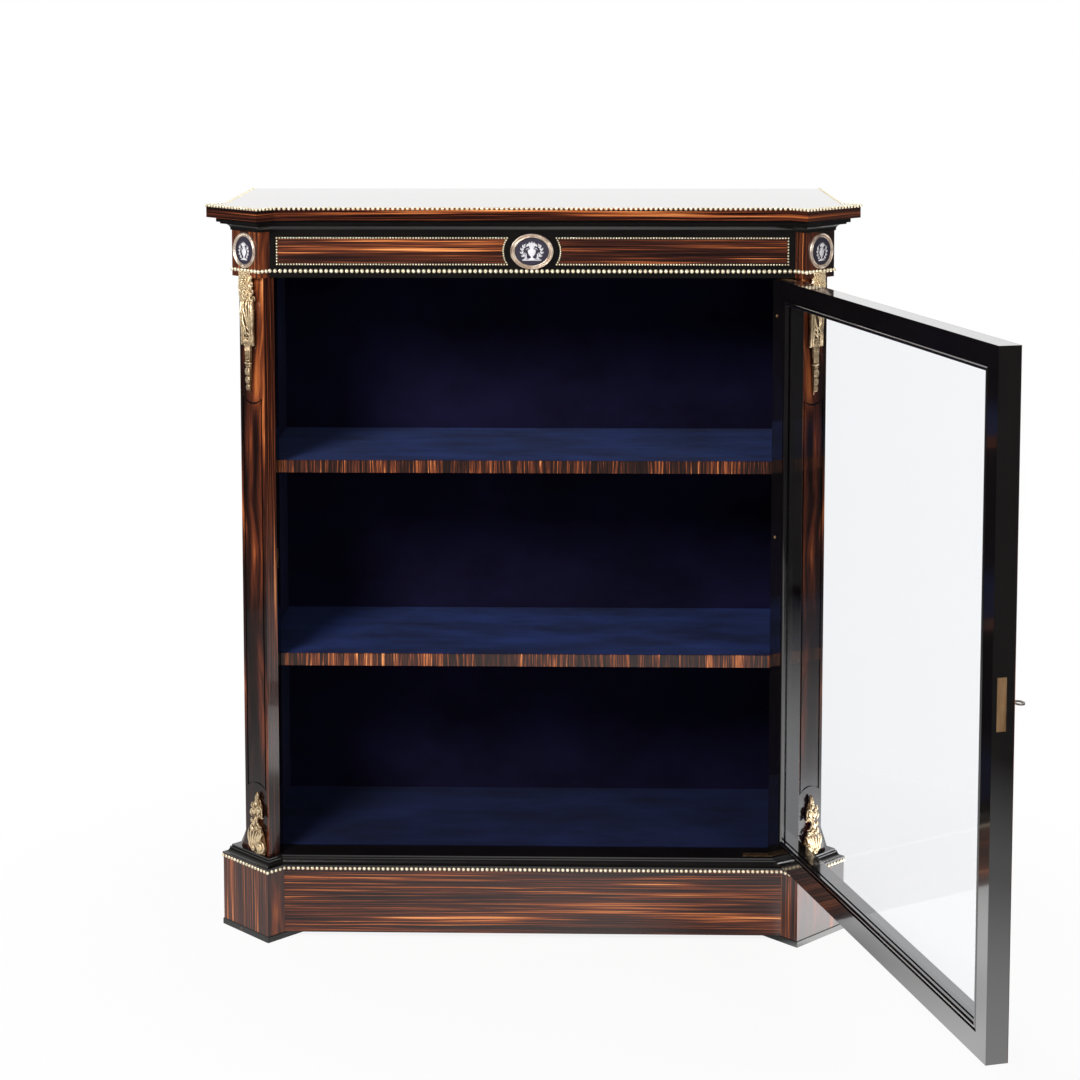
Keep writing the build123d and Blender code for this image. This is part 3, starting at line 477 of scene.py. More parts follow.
def clear_glass():
    finish = Finish("clear_glass")
    clear = finish.node("BsdfTransparent", {"Color": (0.982, 0.988, 0.998, 1)})
    gloss = finish.node("BsdfGlossy", {"Roughness": 0.01})
    slant = finish.node("LayerWeight", {"Blend": 0.5}, output="Facing")
    finish.blend(slant.math("POWER", 5.0) * 0.3 + 0.012, clear, gloss)
    finish.tree.nodes.remove(finish.shader)
    return finish.material


plaque_ground = matt("plaque_ground", (0.022, 0.018, 0.032), (0.042, 0.035, 0.056), 300.0, 0.35)
plaque_relief = matt("plaque_relief", (0.62, 0.60, 0.64), (0.78, 0.76, 0.78), 300.0, 0.5)
stained_wood = matt("stained_wood", (0.022, 0.013, 0.009), (0.05, 0.03, 0.02), 60.0, 0.55)
glass = clear_glass()
print("others", plaque_ground.name, plaque_relief.name, stained_wood.name, glass.name)

# %% [markdown]
# The door's outer face is veneered like the case: upright on the stiles, level on the rails. The door
# stands open, so the ways along and across are measured in its own plane, from its hinge.


# %% Veneer of the door
DOOR_WIDTH, DOOR_THICKNESS = 728.5, 28.0
HINGE_STILE, LOCK_STILE, TOP_RAIL, BOTTOM_RAIL = 48.0, 35.5, 34.0, 37.0
REBATE = 8.0
door_hinge = next(joint for joint in frame["joints"] if joint["name"] == "door_hinge")
door_open = radians(-door_hinge["range_deg"][0])
hinge_x, hinge_y = door_hinge["pos_m"][:2]
door_low, door_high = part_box("door_veneer")


def door_face_veneer():
    finish = Finish("coromandel_door")
    x, y, z = finish.place()
    width = (x - hinge_x) * -cos(door_open) + (y - hinge_y) * -sin(door_open)
    rail = (z < door_low.z + BOTTOM_RAIL * MM).math("MAXIMUM", z > door_high.z - TOP_RAIL * MM)
    rail = rail * (width > (HINGE_STILE - REBATE) * MM) * (width < (DOOR_WIDTH - LOCK_STILE) * MM)
    along = z * (1.0 - rail) + width * rail
    across = width * (1.0 - rail) + z * rail
    colour, fine = lay_veneer(finish, along, across, 0.015)
    return polish(finish, colour, fine)


door_veneer = door_face_veneer()
print("door veneer from", round(door_low.z, 3), "to", round(door_high.z, 3))

# %% [markdown]
# Now every part of the frame gets its finish. The record names a slot for each, and the slot gives the
# usual finish; a short list holds those pieces whose grain runs another way.

# %% Finish every part of the frame
slot_finishes = {
    "coromandel": upright_veneer,
    "ebonised_wood": ebonised_finish,
    "carcass_wood": stained_wood,
    "blue_velvet": shaded_wall_velvet,
    "gilt_bronze": gilt,
    "brass": brass,
    "steel": steel,
    "plaque_ceramic": plaque_ground,
    "glass": glass,
}
own_finishes = {
    "top_slab": slab_finish,
    "shelf_edges": banding_finish,
    "shelf_velvet": shelf_velvet,
    "floor_velvet": floor_velvet,
    "foot_plates": foot_black,
    "door_veneer": door_veneer,
    **pillar_finishes,
}
for name in ("frieze_panels", "plinth_front", "plinth_side_left", "plinth_side_right"):
    own_finishes[name] = level_veneer
for name in ("door_stile_hinge", "door_stile_lock", "door_rail_top", "door_rail_bottom", "glazing_beads"):
    own_finishes[name] = door_black
for part in frame["record"]["subparts"]:
    finish = own_finishes.get(part["node"], slot_finishes[part["material_slot"]])
    materials = nodes[part["node"]].data.materials
    materials.clear()
    materials.append(finish)

# %% [markdown]
# Every new piece is built in a bmesh and then handed over in the same way: doubles are merged, the faces
# are turned outwards, and the object stays at the origin with its place in its mesh.


# %% Handing over a piece
def hand_over(name, bm, finish, stands_for=(), body="cabinet"):
    bmesh.ops.remove_doubles(bm, verts=bm.verts, dist=1e-7)
    bmesh.ops.recalc_face_normals(bm, faces=bm.faces)
    for face in bm.faces:
        face.smooth = True
    mesh = bpy.data.meshes.new(name)
    bm.to_mesh(mesh)
    bm.free()
    mesh.materials.append(finish)
    piece = bpy.data.objects.new(name, mesh)
    bpy.context.scene.collection.objects.link(piece)
    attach(piece, body)
    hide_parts(*stands_for)
    print(name, len(mesh.polygons), "faces")


# %% [markdown]
# The gilt beads were stamped in strips and nailed on, so each row is a line of equal domes. Each
# bead is a small sphere sunk to its middle in the wood. Operators slow down as a mesh grows, so every
# small form is made in a bmesh of its own and then added. A row turns the corners of the case, and each
# straight run gets a whole number of beads, with one bead at every corner.


# %% Rows of beads
def add(bm, form, place=Matrix.Identity(4)):
    """Adds a finished small form, made in its own bmesh, to a piece."""
    mesh = bpy.data.meshes.new("form")
    form.to_mesh(mesh)
    form.free()
    mesh.transform(place)
    bm.from_mesh(mesh)
    bpy.data.meshes.remove(mesh)


def ball(bm, centre, radius, segments=8, rings=6, stretch=(1, 1, 1)):
    form = bmesh.new()
    bmesh.ops.create_uvsphere(form, u_segments=segments, v_segments=rings, radius=radius)
    add(bm, form, Matrix.Translation(centre) @ Matrix.Diagonal((*stretch, 1)))


def bead(bm, centre, radius):
    ball(bm, centre, radius, 9, 6)


def bead_run(bm, corners, pitch, radius):
    """Beads along a chain of corners, one of them at each corner."""
    bead(bm, corners[0], radius)
    count = 1
    for start, end in zip(corners, corners[1:]):
        steps = max(1, round((end - start).length / pitch))
        for step in range(1, steps + 1):
            bead(bm, start.lerp(end, step / steps), radius)
        count += steps
    return count


def plan_corners(cant, front_return, side_return, front, side, back, height):
    """A storey's corners from its left side round the front, by the X at which its faces cross Y = 0."""
    right = [
        (front_return - front, front),
        ((cant + front_return) / 2, (front_return - cant) / 2),
        ((cant + side_return) / 2, (side_return - cant) / 2),
        (side, side_return - side),
        (side, back),
    ]
    chain = [(-x, y) for x, y in reversed(right)] + right
    return [at(x, y, height) for x, y in chain]


bead_rows = {
    "plinth_beading": ((*PLINTH_PLAN, CASE_BACK, 105.3), 6.95, 2.6),
    "frieze_beading": ((*FRIEZE_PLAN, CASE_BACK, 984.2), 7.4, 3.0),
    "top_beading": ((*TOP_PLAN, SLAB_BACK, 1075.3), 7.05, 2.5),
}
for name, (plan, pitch, radius) in bead_rows.items():
    row = bmesh.new()
    beads = bead_run(row, plan_corners(*plan), pitch * MM, radius * MM)
    hand_over(name + "_beads", row, bead_gilt, [name])
    print(beads, "beads")

# %% [markdown]
# Round each long frieze panel runs a row of smaller beads. Its outer end is straight, and its inner end
# bows away from the oval plaque along an ellipse, so that end is a chain of short steps.


# %% Bead frames of the frieze panels
PANEL_BEAD, PANEL_PITCH = 1.35, 4.1


def panel_frame_corners(side):
    bottom, top, outer_end, face = 993.9, 1031.9, 365.7, 33.6
    half_wide, half_high = 41.1, 37.1
    bow = []
    for step in range(13):
        height = bottom + (top - bottom) * step / 12
        reach = half_wide * sqrt(1 - ((height - OVAL_LEVEL) / half_high) ** 2)
        bow.append((reach, height))
    chain = [(outer_end, top), (outer_end, bottom)] + bow + [(outer_end, top)]
    return [at(side * x, face, height) for x, height in chain]


panel_beads = bmesh.new()
for side in (-1, 1):
    corners = panel_frame_corners(side)
    for run in (corners[:3], corners[2:-1:2], corners[-2:]):
        bead_run(panel_beads, run, PANEL_PITCH * MM, PANEL_BEAD * MM)
hand_over("panel_beads", panel_beads, bead_gilt, ["panel_beading"])

# %% [markdown]
# On the door a row of beads follows the sight edge outside. It lies in the door's plane, so its corners
# are found from the strip that the CAD holds there: its box gives the levels, and the hinge the rest.


# %% Beads of the door
DOOR_BEAD, DOOR_BEAD_INSET, DOOR_PITCH = 2.1, 3.0, 6.0


def on_door(across, outward, height):
    """A point of the open door, in mm from its hinge to its free edge, out of its face, and up."""
    out = outward + DOOR_THICKNESS / 2
    x = -across * cos(door_open) + out * sin(door_open)
    y = -across * sin(door_open) - out * cos(door_open)
    return Vector((hinge_x + x * MM, hinge_y + y * MM, height * MM))


strip_low, strip_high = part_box("door_beading")
low = strip_low.z / MM + DOOR_BEAD
high = strip_high.z / MM - DOOR_BEAD
near = HINGE_STILE - (DOOR_BEAD_INSET + DOOR_BEAD)
far = DOOR_WIDTH - LOCK_STILE + (DOOR_BEAD_INSET + DOOR_BEAD)
door_chain = [on_door(*spot) for spot in ((near, 0, low), (far, 0, low), (far, 0, high), (near, 0, high))]
door_beads = bmesh.new()
bead_run(door_beads, door_chain + door_chain[:1], DOOR_PITCH * MM, DOOR_BEAD * MM)
hand_over("door_beads", door_beads, bead_gilt, ["door_beading"], body="door")

# %% [markdown]
# The mounts and rings are cast and chased, all from a few kinds of form: bars that swell, taper and curl,
# leaves, and turned shapes. `bar` sweeps an oval section along a path with `create_circle` and
# `bridge_loops`. `turned` spins half a profile. Both work flat, with X along the face, Y up and
# Z out of it, in millimetres, and the finished casting is then set on its face.


# %% Forms of the castings
def bar(bm, path, sizes, sides=8):
    """A bar of oval section along a path; sizes holds its width and its thickness at each point."""
    path = [Vector(point) for point in path]
    form = bmesh.new()
    previous = None
    for index, (point, (width, depth)) in enumerate(zip(path, sizes)):
        heading = (path[min(index + 1, len(path) - 1)] - path[max(index - 1, 0)]).normalized()
        out = Vector((0, 0, 1)) if abs(heading.z) < 0.9 else Vector((0, 1, 0))
        across = out.cross(heading).normalized()
        out = heading.cross(across)
        turn = Matrix((across, out, heading)).transposed().to_4x4()
        size = Matrix.Diagonal((width / 2, depth / 2, 1, 1))
        last = index in (0, len(path) - 1)
        ring = bmesh.ops.create_circle(
            form, cap_ends=last, segments=sides, radius=1, matrix=Matrix.Translation(point) @ turn @ size
        )["verts"]
        edges = list({edge for vert in ring for edge in vert.link_edges})
        if previous:
            bmesh.ops.bridge_loops(form, edges=previous + edges)
        previous = edges
    add(bm, form)


def curl(centre, radius, start, turns, steps=14, lift=0.0, inner=0.22):
    """The path of a scroll that winds in to its centre."""
    x, y, z = centre
    points = []
    for step in range(steps + 1):
        share = step / steps
        angle = start + turns * 2 * pi * share
        reach = radius * (1 - (1 - inner) * share)
        points.append((x + reach * cos(angle), y + reach * sin(angle), z + lift * share))
    return points


def swell(count, thick, slim, depth=1.0):
    """Sizes that swell from slim to thick and back along a path."""
    sizes = []
    for step in range(count):
        width = slim + (thick - slim) * sin(pi * step / (count - 1))
        sizes.append((width, width * depth))
    return sizes


def leaf(bm, root, length, width, angle, out=0.0, droop=0.0, depth=0.45):
    """A leaf: angle is its lean from upright, out how far it rises, droop how far its tip bends."""
    path, sizes = [], []
    for step in range(6):
        share = step / 5
        lean = angle + droop * share * share
        reach = length * share
        lift = root[2] + out * sin(pi * min(share * 1.15, 1.0) / 1.4)
        path.append((root[0] + reach * sin(lean), root[1] + reach * cos(lean), lift))
        wide = width * sin(pi * (0.12 + 0.86 * step / 5))
        thick = width * depth * sin(pi * (0.15 + 0.83 * step / 5))
        sizes.append((max(wide, 0.3), max(thick, 0.25)))
    bar(bm, path, sizes, 6)


def mirrored(points, side):
    return [(side * x, y, z) for x, y, z in points]


def spun(form, verts, edges, axis, steps):
    """Turns a profile once round an axis through the origin."""
    bmesh.ops.spin(
        form, geom=verts + edges, cent=(0, 0, 0), axis=axis, angle=2 * pi, steps=steps, use_merge=True
    )


def turned(bm, profile, steps=20, place=Matrix.Identity(4)):
    """Half a profile of (radius, height) spun about the Y axis, as on a lathe."""
    form = bmesh.new()
    verts = [form.verts.new((radius, height, 0)) for radius, height in profile]
    edges = [form.edges.new(pair) for pair in zip(verts, verts[1:])]
    spun(form, verts, edges, (0, 1, 0), steps)
    add(bm, form, place)


def set_on_face(bm, origin, along, out):
    """Moves a casting from its own plane, in millimetres, to a face of the case."""
    up = Vector((0, 0, 1))
    turn = Matrix((along, up, out)).transposed().to_4x4()
    bmesh.ops.transform(bm, matrix=Matrix.Translation(origin) @ turn @ Matrix.Scale(MM, 4), verts=bm.verts)


def cant_face(side, cant, front_return, side_return):
    """The middle of a canted face on the floor, and the directions along it and out of it."""
    x = (2 * cant + front_return + side_return) / 4
    y = (front_return + side_return - 2 * cant) / 4
    out = Vector((side, -1, 0)).normalized()
    return at(side * x, y, 0), Vector((0, 0, 1)).cross(out), out


pillar_face = {side: cant_face(side, *PILLAR_PLAN) for side in (-1, 1)}
block_face = {side: cant_face(side, *FRIEZE_PLAN[:3]) for side in (-1, 1)}
print("pillar faces at", [tuple(round(value, 3) for value in face[0]) for face in pillar_face.values()])

# %% [markdown]
# The upper mount hangs under the frieze. Everything on it is laid over one core that tapers, as the
# real casting has one back plate. Its top is a mass of waving locks: rows of small curls, each row
# shifted by half a curl like bricks, and longer locks that fall away on both sides.


# %% Core and locks of the upper mount
UPPER_CORE = [
    (0, 805, 1, 2, 2), (0, 818, 1.4, 6, 4), (0, 838, 1.4, 8, 4), (0, 846, 2, 10, 6),
    (0, 876, 2, 12, 6), (0, 880, 2.2, 24, 4), (0, 905, 2.4, 24, 5), (0, 934, 2.6, 24, 6),
    (0, 945, 4, 24, 10), (0, 962, 5, 25, 13), (0, 974, 5, 23, 13), (0, 980, 4, 14, 7),
]
SIDE_LOCKS = ((8, 974, 1.5), (9, 964, 1.8), (9, 954, 2.1), (8, 946, 2.5))


def core(bm, rows):
    """The bar that the rest lies on, from rows of x, y, z, width and thickness."""
    bar(bm, [row[:3] for row in rows], [row[3:] for row in rows], 16)


def curls(bm):
    for row in range(8):
        level = 980.5 - row * 5.2
        for number in range(5):
            x = (number - 2 + 0.5 * (row % 2)) * (4.6 + 0.2 * row)
            out = 12.8 - x * x * 0.03 - abs(row - 3) * 0.4
            turns = 1.2 if (number + row) % 2 else -1.2
            lock = curl((x, level, out), 3.7, row * 1.3 + number * 2.1, turns, 12, 1.5)
            bar(bm, lock, swell(13, 2.7, 1.2, 0.9), 6)


def side_locks(bm, side):
    for number, (x, level, lean) in enumerate(SIDE_LOCKS):
        path = []
        for step in range(7):
            share = step / 6
            height = level + 8 * share * cos(lean) + 1.2 * sin(share * 2 * pi + number)
            path.append((side * (x + 6.5 * share), height, 9.5 - 4.0 * share * share))
        bar(bm, path, swell(7, 3.8, 1.5, 0.9))


# %% [markdown]
# The body is falling drapery. Its edges hang in two folds on each side, a few bars that swell in the
# middle cross its front, and a row of short pleats makes its square hem.


# %% Drapery of the upper mount
FOLDS = [
    [(-6, 942, 8), (-3.5, 927, 9.5), (2, 914, 9), (4.5, 900, 7)],
    [(5, 944, 8.5), (2.5, 932, 9.5), (4.5, 919, 9), (6, 906, 7.5)],
    [(-8, 926, 7), (-6.5, 911, 8.5), (-2, 902, 8.5), (0.5, 889, 7)],
    [(-3.5, 941, 8), (-6.2, 931, 8.5), (-7.5, 920, 7)],
    [(-9, 906, 6), (-4, 900, 7.5), (2, 903, 8), (8, 896, 6.5)],
    [(-7, 898, 6.5), (-3, 892, 7.5), (3, 894, 7.5), (8, 889, 6)],
]


def hanging_folds(bm, side):
    outer = ((11.4, 944, 4.5), (12.6, 920, 5), (11.6, 900, 4.5), (12.8, 875.5, 3.5))
    bar(bm, mirrored(outer, side), [(3.4, 8), (4.6, 9), (3.8, 8), (4.8, 7)])
    inner = ((7.4, 946, 7), (8.4, 925, 7.5), (7.2, 903, 6.5), (8.4, 878, 5.5))
    bar(bm, mirrored(inner, side), [(2.4, 3.4), (3.2, 4.4), (2.6, 3.8), (3.2, 4.2)])


def drapery(bm):
    for path in FOLDS:
        bar(bm, path, swell(len(path), 3.4, 1.8, 0.9))
    bar(bm, [(-12, 888, 5), (0, 886.4, 6.5), (12, 888, 5)], [(1.6, 2.4)] * 3)
    for number in range(7):
        x = (number - 3) * 3.3
        bar(bm, [(x * 0.98, 886, 5.2), (x, 876.6 - (number % 2) * 1.6, 5.0)], [(2.0, 2.6), (2.7, 3.2)])


# %% [markdown]
# Below hangs a fluted shaft with a collar of three rings, and from that a drop of husks, each a group of
# three leaves that point down. The castings were fitted by hand, so each sits some millimetres off
# the middle of its face: the offsets are read from the photograph.


# %% Upper mount
def shaft(bm):
    for number in range(5):
        x = (number - 2) * 2.6
        flute = [(x * 0.86, 850, 4.6), (x * 0.93, 863, 5.0), (x, 877, 5.2)]
        bar(bm, flute, [(1.7, 2.2), (1.9, 2.4), (2.1, 2.6)])
    for level, reach, thick in ((853.5, 6.4, 1.8), (849.5, 7.4, 3.4), (845.5, 6.2, 1.8)):
        collar = [(-reach, level, 2.4), (-reach / 2, level - 0.4, 5.6), (0, level - 0.6, 6.6),
                  (reach / 2, level - 0.4, 5.6), (reach, level, 2.4)]
        bar(bm, collar, [(thick, thick)] * 5)
    for level, size in ((845, 1.0), (832, 0.9), (820, 0.72)):
        for lean in (-0.42, 0.42, 0.0):
            leaf(bm, (0, level, 3.6), 15.0 * size, 6.0 * size, pi + lean, 2.2 * size, lean * -0.5)


def upper_mount():
    bm = bmesh.new()
    core(bm, UPPER_CORE)
    curls(bm)
    for side in (-1, 1):
        side_locks(bm, side)
        hanging_folds(bm, side)
    drapery(bm)
    shaft(bm)
    return bm


def fit_mount(casting, height, side, offset):
    """Sets a mount on its pillar, and some millimetres off the middle of the face."""
    bmesh.ops.translate(casting, vec=(offset, 0, 0), verts=casting.verts)
    set_on_face(casting, *pillar_face[side])
    hand = "right" if side > 0 else "left"
    hand_over(f"gilt_mount_{height}_{hand}", casting, mount_gilt, [f"{height}_mount_{hand}"])


fit_mount(upper_mount(), "upper", -1, -3.3)
fit_mount(upper_mount(), "upper", 1, -1.2)

# %% [markdown]
# The lower mount is not the same on both sides of its middle. Its inner edge, towards the doorway, is at
# negative X here: it starts in a large volute, leaves a crescent open half way up and ends in a cluster
# of scrolls under a bud. A scroll has a centre, a radius, an angle at which it starts, and turns.


# %% Core and scrolls of the lower mount
LOWER_CORE = [
    (0, 123, 2.2, 32, 5), (0, 131, 2.2, 34, 6), (1, 141, 2.2, 31, 6), (2.5, 152, 2.2, 26, 6),
    (5, 160, 2.2, 20, 6), (7.5, 167, 2.2, 12, 5), (7, 174, 2.2, 12, 5), (2, 181, 2.2, 20, 6),
    (1.5, 192, 2.2, 21, 6), (1, 200, 2.2, 14, 5), (0.5, 206, 2.2, 6, 3),
]
SCROLLS = [
    (-8.0, 133.0, 9.4, 0.3, 1.9), (9.5, 129.5, 6.0, 2.8, -1.5), (-6.5, 157.5, 4.4, 4.0, 1.3),
    (2.5, 160.5, 4.2, 1.0, -1.3), (11.0, 158.0, 4.8, 2.5, -1.4), (-4.5, 189.0, 6.4, 4.4, -1.6),
    (6.5, 185.5, 5.6, -1.0, 1.5), (1.5, 198.0, 4.6, 3.8, -1.4), (10.5, 193.5, 3.8, 0.4, 1.3),
    (-8.5, 182.0, 3.4, 1.0, 1.2), (12.0, 170.0, 3.6, 1.6, -1.3),
]


def scrolls(bm):
    for x, level, radius, start, turns in SCROLLS:
        thick = radius * 0.36 + 1.6
        path = curl((x, level, 5.0), radius, start, turns, 20, radius * 0.5)
        bar(bm, path, swell(21, thick, thick * 0.5, 0.9))
        ball(bm, (x, level, 5.0 + radius * 0.5), radius * 0.26)


def crescent(bm):
    path = []
    for step in range(13):
        angle = pi * (-0.62 + 1.24 * step / 12)
        path.append((-6.2 + 8.0 * cos(angle), 171.5 + 8.6 * sin(angle), 5.0))
    bar(bm, path, swell(13, 4.2, 1.4, 0.9))


# %% [markdown]
# Its outer edge climbs straight from a spread of seven leaves, with single leaves laid over the rest. The
# left casting mirrors the right one, and `recalc_face_normals` turns its faces outwards again
# when it is handed over.


# %% Lower mount
SINGLE_LEAVES = (
    (14, 126, 0.5, 16), (13, 140, 0.3, 17), (13, 152, 0.1, 15), (8, 160, -0.1, 17),
    (4.5, 163, 0.1, 15), (12, 176, 0.25, 13), (7, 178, -0.2, 12), (-1, 179, -0.4, 12),
)


def leaves(bm):
    for number in range(7):
        x = 15.5 - number * 3.6
        rise = max(number - 3, 0) * 4.5
        leaf(bm, (x * 0.86, 127 + rise, 5.0), 31 - rise, 4.8, 0.42 - number * 0.12, 2.6, -0.25)
    for x, level, lean, length in SINGLE_LEAVES:
        leaf(bm, (x, level, 5.2), length, 4.4, lean, 2.2, -0.3)


def lower_mount():
    bm = bmesh.new()
    core(bm, LOWER_CORE)
    scrolls(bm)
    leaves(bm)
    crescent(bm)
    leaf(bm, (-7.0, 180.0, 4.5), 7.5, 3.6, pi + 0.95, 0.8, 0.4)
    for lean in (-0.55, 0.5, -0.05):
        leaf(bm, (1.0, 199, 3.6), 13, 4.2, lean, 2.0, -lean)
    ball(bm, (0.8, 208.5, 3.4), 1, 12, 8, (3.0, 6.2, 2.6))
    foot = [(-14.5, 123.6, 2.8), (0, 123.2, 5.6), (15.5, 123.6, 2.8)]
    bar(bm, foot, [(2.8, 2.8), (3.2, 3.2), (2.8, 2.8)])
    return bm


for side, offset in ((-1, 6.8), (1, -1.0)):
    casting = lower_mount()
    bmesh.ops.scale(casting, vec=(side, 1, 1), verts=casting.verts)
    fit_mount(casting, "lower", side, offset)
# %% [markdown]
# Each plaque sits in a gilt ring: two raised rims with a hollow between them, and a line of
# tiny beads in the hollow. A profile is spun into a round ring, and the ring of the oval plaque is the
# same ring squeezed upright.


# %% Rings of the plaques
# Shares of the ring's width, and heights in millimetres
RING_PROFILE = (
    (0.0, 0.0), (0.0, 1.6), (0.10, 2.5), (0.22, 2.6), (0.32, 1.7), (0.42, 1.3),
    (0.58, 1.4), (0.70, 2.2), (0.80, 3.2), (0.90, 3.2), (1.0, 2.2), (1.0, 0.0),
)


def ring(inner, outer, squeeze, beads):
    bm = bmesh.new()
    verts = [bm.verts.new((inner + (outer - inner) * share, 0, height)) for share, height in RING_PROFILE]
    edges = [bm.edges.new(pair) for pair in zip(verts, verts[1:] + verts[:1])]
    spun(bm, verts, edges, (0, 0, 1), 64)
    middle = inner + (outer - inner) * 0.5
    for number in range(beads):
        angle = 2 * pi * number / beads
        ball(bm, (middle * cos(angle), middle * sin(angle), 1.3), 0.9, 7, 5)
    bmesh.ops.scale(bm, vec=(1, squeeze, 1), verts=bm.verts)
    return bm


front = (at(0, FRIEZE_PLAN[3], OVAL_LEVEL), Vector((1, 0, 0)), Vector((0, -1, 0)))
oval_ring = ring(24.1, 31.0, 25.5 / 31.0, 74)
set_on_face(oval_ring, *front)
hand_over("oval_ring", oval_ring, ring_gilt, ["centre_plaque_ring"])


def round_place(side):
    """The place of a round plaque on its canted block."""
    origin, along, out = block_face[side]
    return origin + Vector((0, 0, ROUND_LEVEL * MM)), along, out


for side, name in ((-1, "left"), (1, "right")):
    round_ring = ring(19.9, 25.6, 1.0, 60)
    set_on_face(round_ring, *round_place(side))
    stands_for = ["side_plaque_rings"] if side < 0 else []
    hand_over("round_ring_" + name, round_ring, ring_gilt, stands_for)

# %% [markdown]
# The reliefs are motifs of their own: an urn of flowers between laurel sprays on the oval, and a
# tall vase in a wreath on the round ones. A relief is an ordinary shape pressed almost flat, so each urn
# is turned on the lathe and then squeezed to a fifth of its depth.


# %% Reliefs of the plaques
URN = (
    (0.0, -9.5), (4.6, -9.5), (4.6, -8.3), (1.5, -7.2), (1.3, -5.6), (3.4, -3.6), (5.2, -0.6),
    (5.6, 2.0), (4.6, 3.6), (2.7, 4.6), (2.6, 6.0), (4.2, 7.2), (4.0, 7.9), (0.0, 7.9),
)


def pressed_urn(bm, x, y, size, tall=1.0):
    flatten = Matrix.Translation((x, y, 1.9)) @ Matrix.Diagonal((size, size * tall, size * 0.24, 1))
    turned(bm, URN, 20, flatten)
    for side in (-1, 1):
        shoulder = (x + side * 5.6 * size, y + 4.2 * size * tall, 2.4)
        handle = curl(shoulder, 2.1 * size, -side * pi / 2 + pi / 2, side * 0.8, 9, 0.0, 0.6)
        bar(bm, handle, [(0.9 * size, 0.8 * size)] * 10, 6)


def spray(bm, side, points, length, width, reach=0.8):
    """A stem with pairs of leaves along it."""
    path = [Vector(point) for point in mirrored(points, side)]
    bar(bm, path, [(0.8, 0.8)] * len(path), 6)
    for before, after in zip(path, path[1:]):
        heading = after - before
        angle = atan2(heading.x, heading.y)
        for lean in (-reach, reach):
            leaf(bm, before.lerp(after, 0.5), length, width, angle + lean, 0.5, lean * -0.3, 0.35)
    last = path[-1] - path[-2]
    leaf(bm, path[-1], length, width, atan2(last.x, last.y), 0.4, 0.0, 0.35)


OVAL_STEM = ((5, -10.6, 2.2), (9.4, -8.6, 2.2), (12.8, -5.0, 2.2),
             (14.4, -0.6, 2.2), (13.8, 4.0, 2.2), (11.4, 7.6, 2.2))
ROUND_STEM = ((4, -11.6, 2.1), (7.6, -8.6, 2.1), (9.8, -4.4, 2.1), (10.2, 0.4, 2.1), (8.8, 5.0, 2.1))


def oval_relief():
    bm = bmesh.new()
    bar(bm, [(-13.5, -12.2, 2.1), (13.5, -12.2, 2.1)], [(1.8, 1.6)] * 2, 8)
    pressed_urn(bm, 0, -1.8, 1.02)
    for number in range(9):
        angle = pi * (0.08 + 0.84 * number / 8)
        ball(bm, (7.0 * cos(angle), 7.0 + 4.6 * sin(angle), 2.6), 1.35)
    for number in range(5):
        leaf(bm, (0, 6.4, 2.3), 8.6, 3.0, (number - 2) * 0.5, 0.6, 0.0, 0.35)
    for side in (-1, 1):
        spray(bm, side, OVAL_STEM, 4.4, 2.1)
        bar(bm, curl((side * 9.2, -4.2, 2.3), 2.7, pi / 2, -side * 1.3, 12), swell(13, 1.3, 0.7), 6)
    return bm


def round_relief():
    bm = bmesh.new()
    bar(bm, [(-7, -13.2, 2.1), (7, -13.2, 2.1)], [(1.6, 1.5)] * 2, 8)
    pressed_urn(bm, 0, -3.4, 0.92, 1.1)
    for number in range(5):
        leaf(bm, (0, 4.6, 2.3), 8.0, 2.6, (number - 2) * 0.42, 0.6, 0.0, 0.35)
    for side in (-1, 1):
        spray(bm, side, ROUND_STEM, 3.6, 1.8)
    return bm


relief = oval_relief()
set_on_face(relief, *front)
hand_over("oval_relief", relief, plaque_relief)
for side, name in ((-1, "left"), (1, "right")):
    relief = round_relief()
    set_on_face(relief, *round_place(side))
    hand_over("round_relief_" + name, relief, plaque_relief)

# %% [markdown]
# The cabinet stands on a pale floor in a white room. Polished black shows whatever stands round it, so
# the floor in reflections is not the floor that the camera sees: for glossy rays it glows in zones, which
# is painted reflection. It is dim at the far left, lighter under the cabinet and to its right, and brightest
# beside its right side, where the glow paints the glare on the right-hand faces. It is dim under its right
# half, a painted shadow of the case, and dim far out at the front right. The table gives each zone's reach
# along X and along Y in metres, each with a border that fades on both sides, and the change in strength.


# %% Floor
PAINTED_REFLECTION_ZONES = (
    ((-1.6, -0.8, 1.2, 2.0), (-9.0, -8.0, 8.0, 9.0), 0.5),
    ((-0.45, 0.0, 1.2, 2.0), (-9.0, -8.0, 8.0, 9.0), 0.6),
    # A glowing strip beside the right side: painted reflection that brightens the polish on the right-hand faces
    ((0.30, 0.36, 0.7, 1.15), (-0.05, 0.1, 0.45, 0.75), 5.5),
    # Painted shadow of the case on the floor in front of its right half, as reflections see it
    ((0.08, 0.2, 0.3, 0.45), (-0.25, 0.1, 0.4, 0.5), -0.9),
    ((0.6, 1.15, 8.0, 9.0), (-9.0, -8.0, -1.2, -0.5), -0.9),
)


def ray_kinds(finish):
    """Wires that are 1 for rays from the camera, from glossy surfaces and through clear ones."""
    kinds = ("Is Camera Ray", "Is Glossy Ray", "Is Transmission Ray")
    return [finish.node("LightPath", output=kind) for kind in kinds]


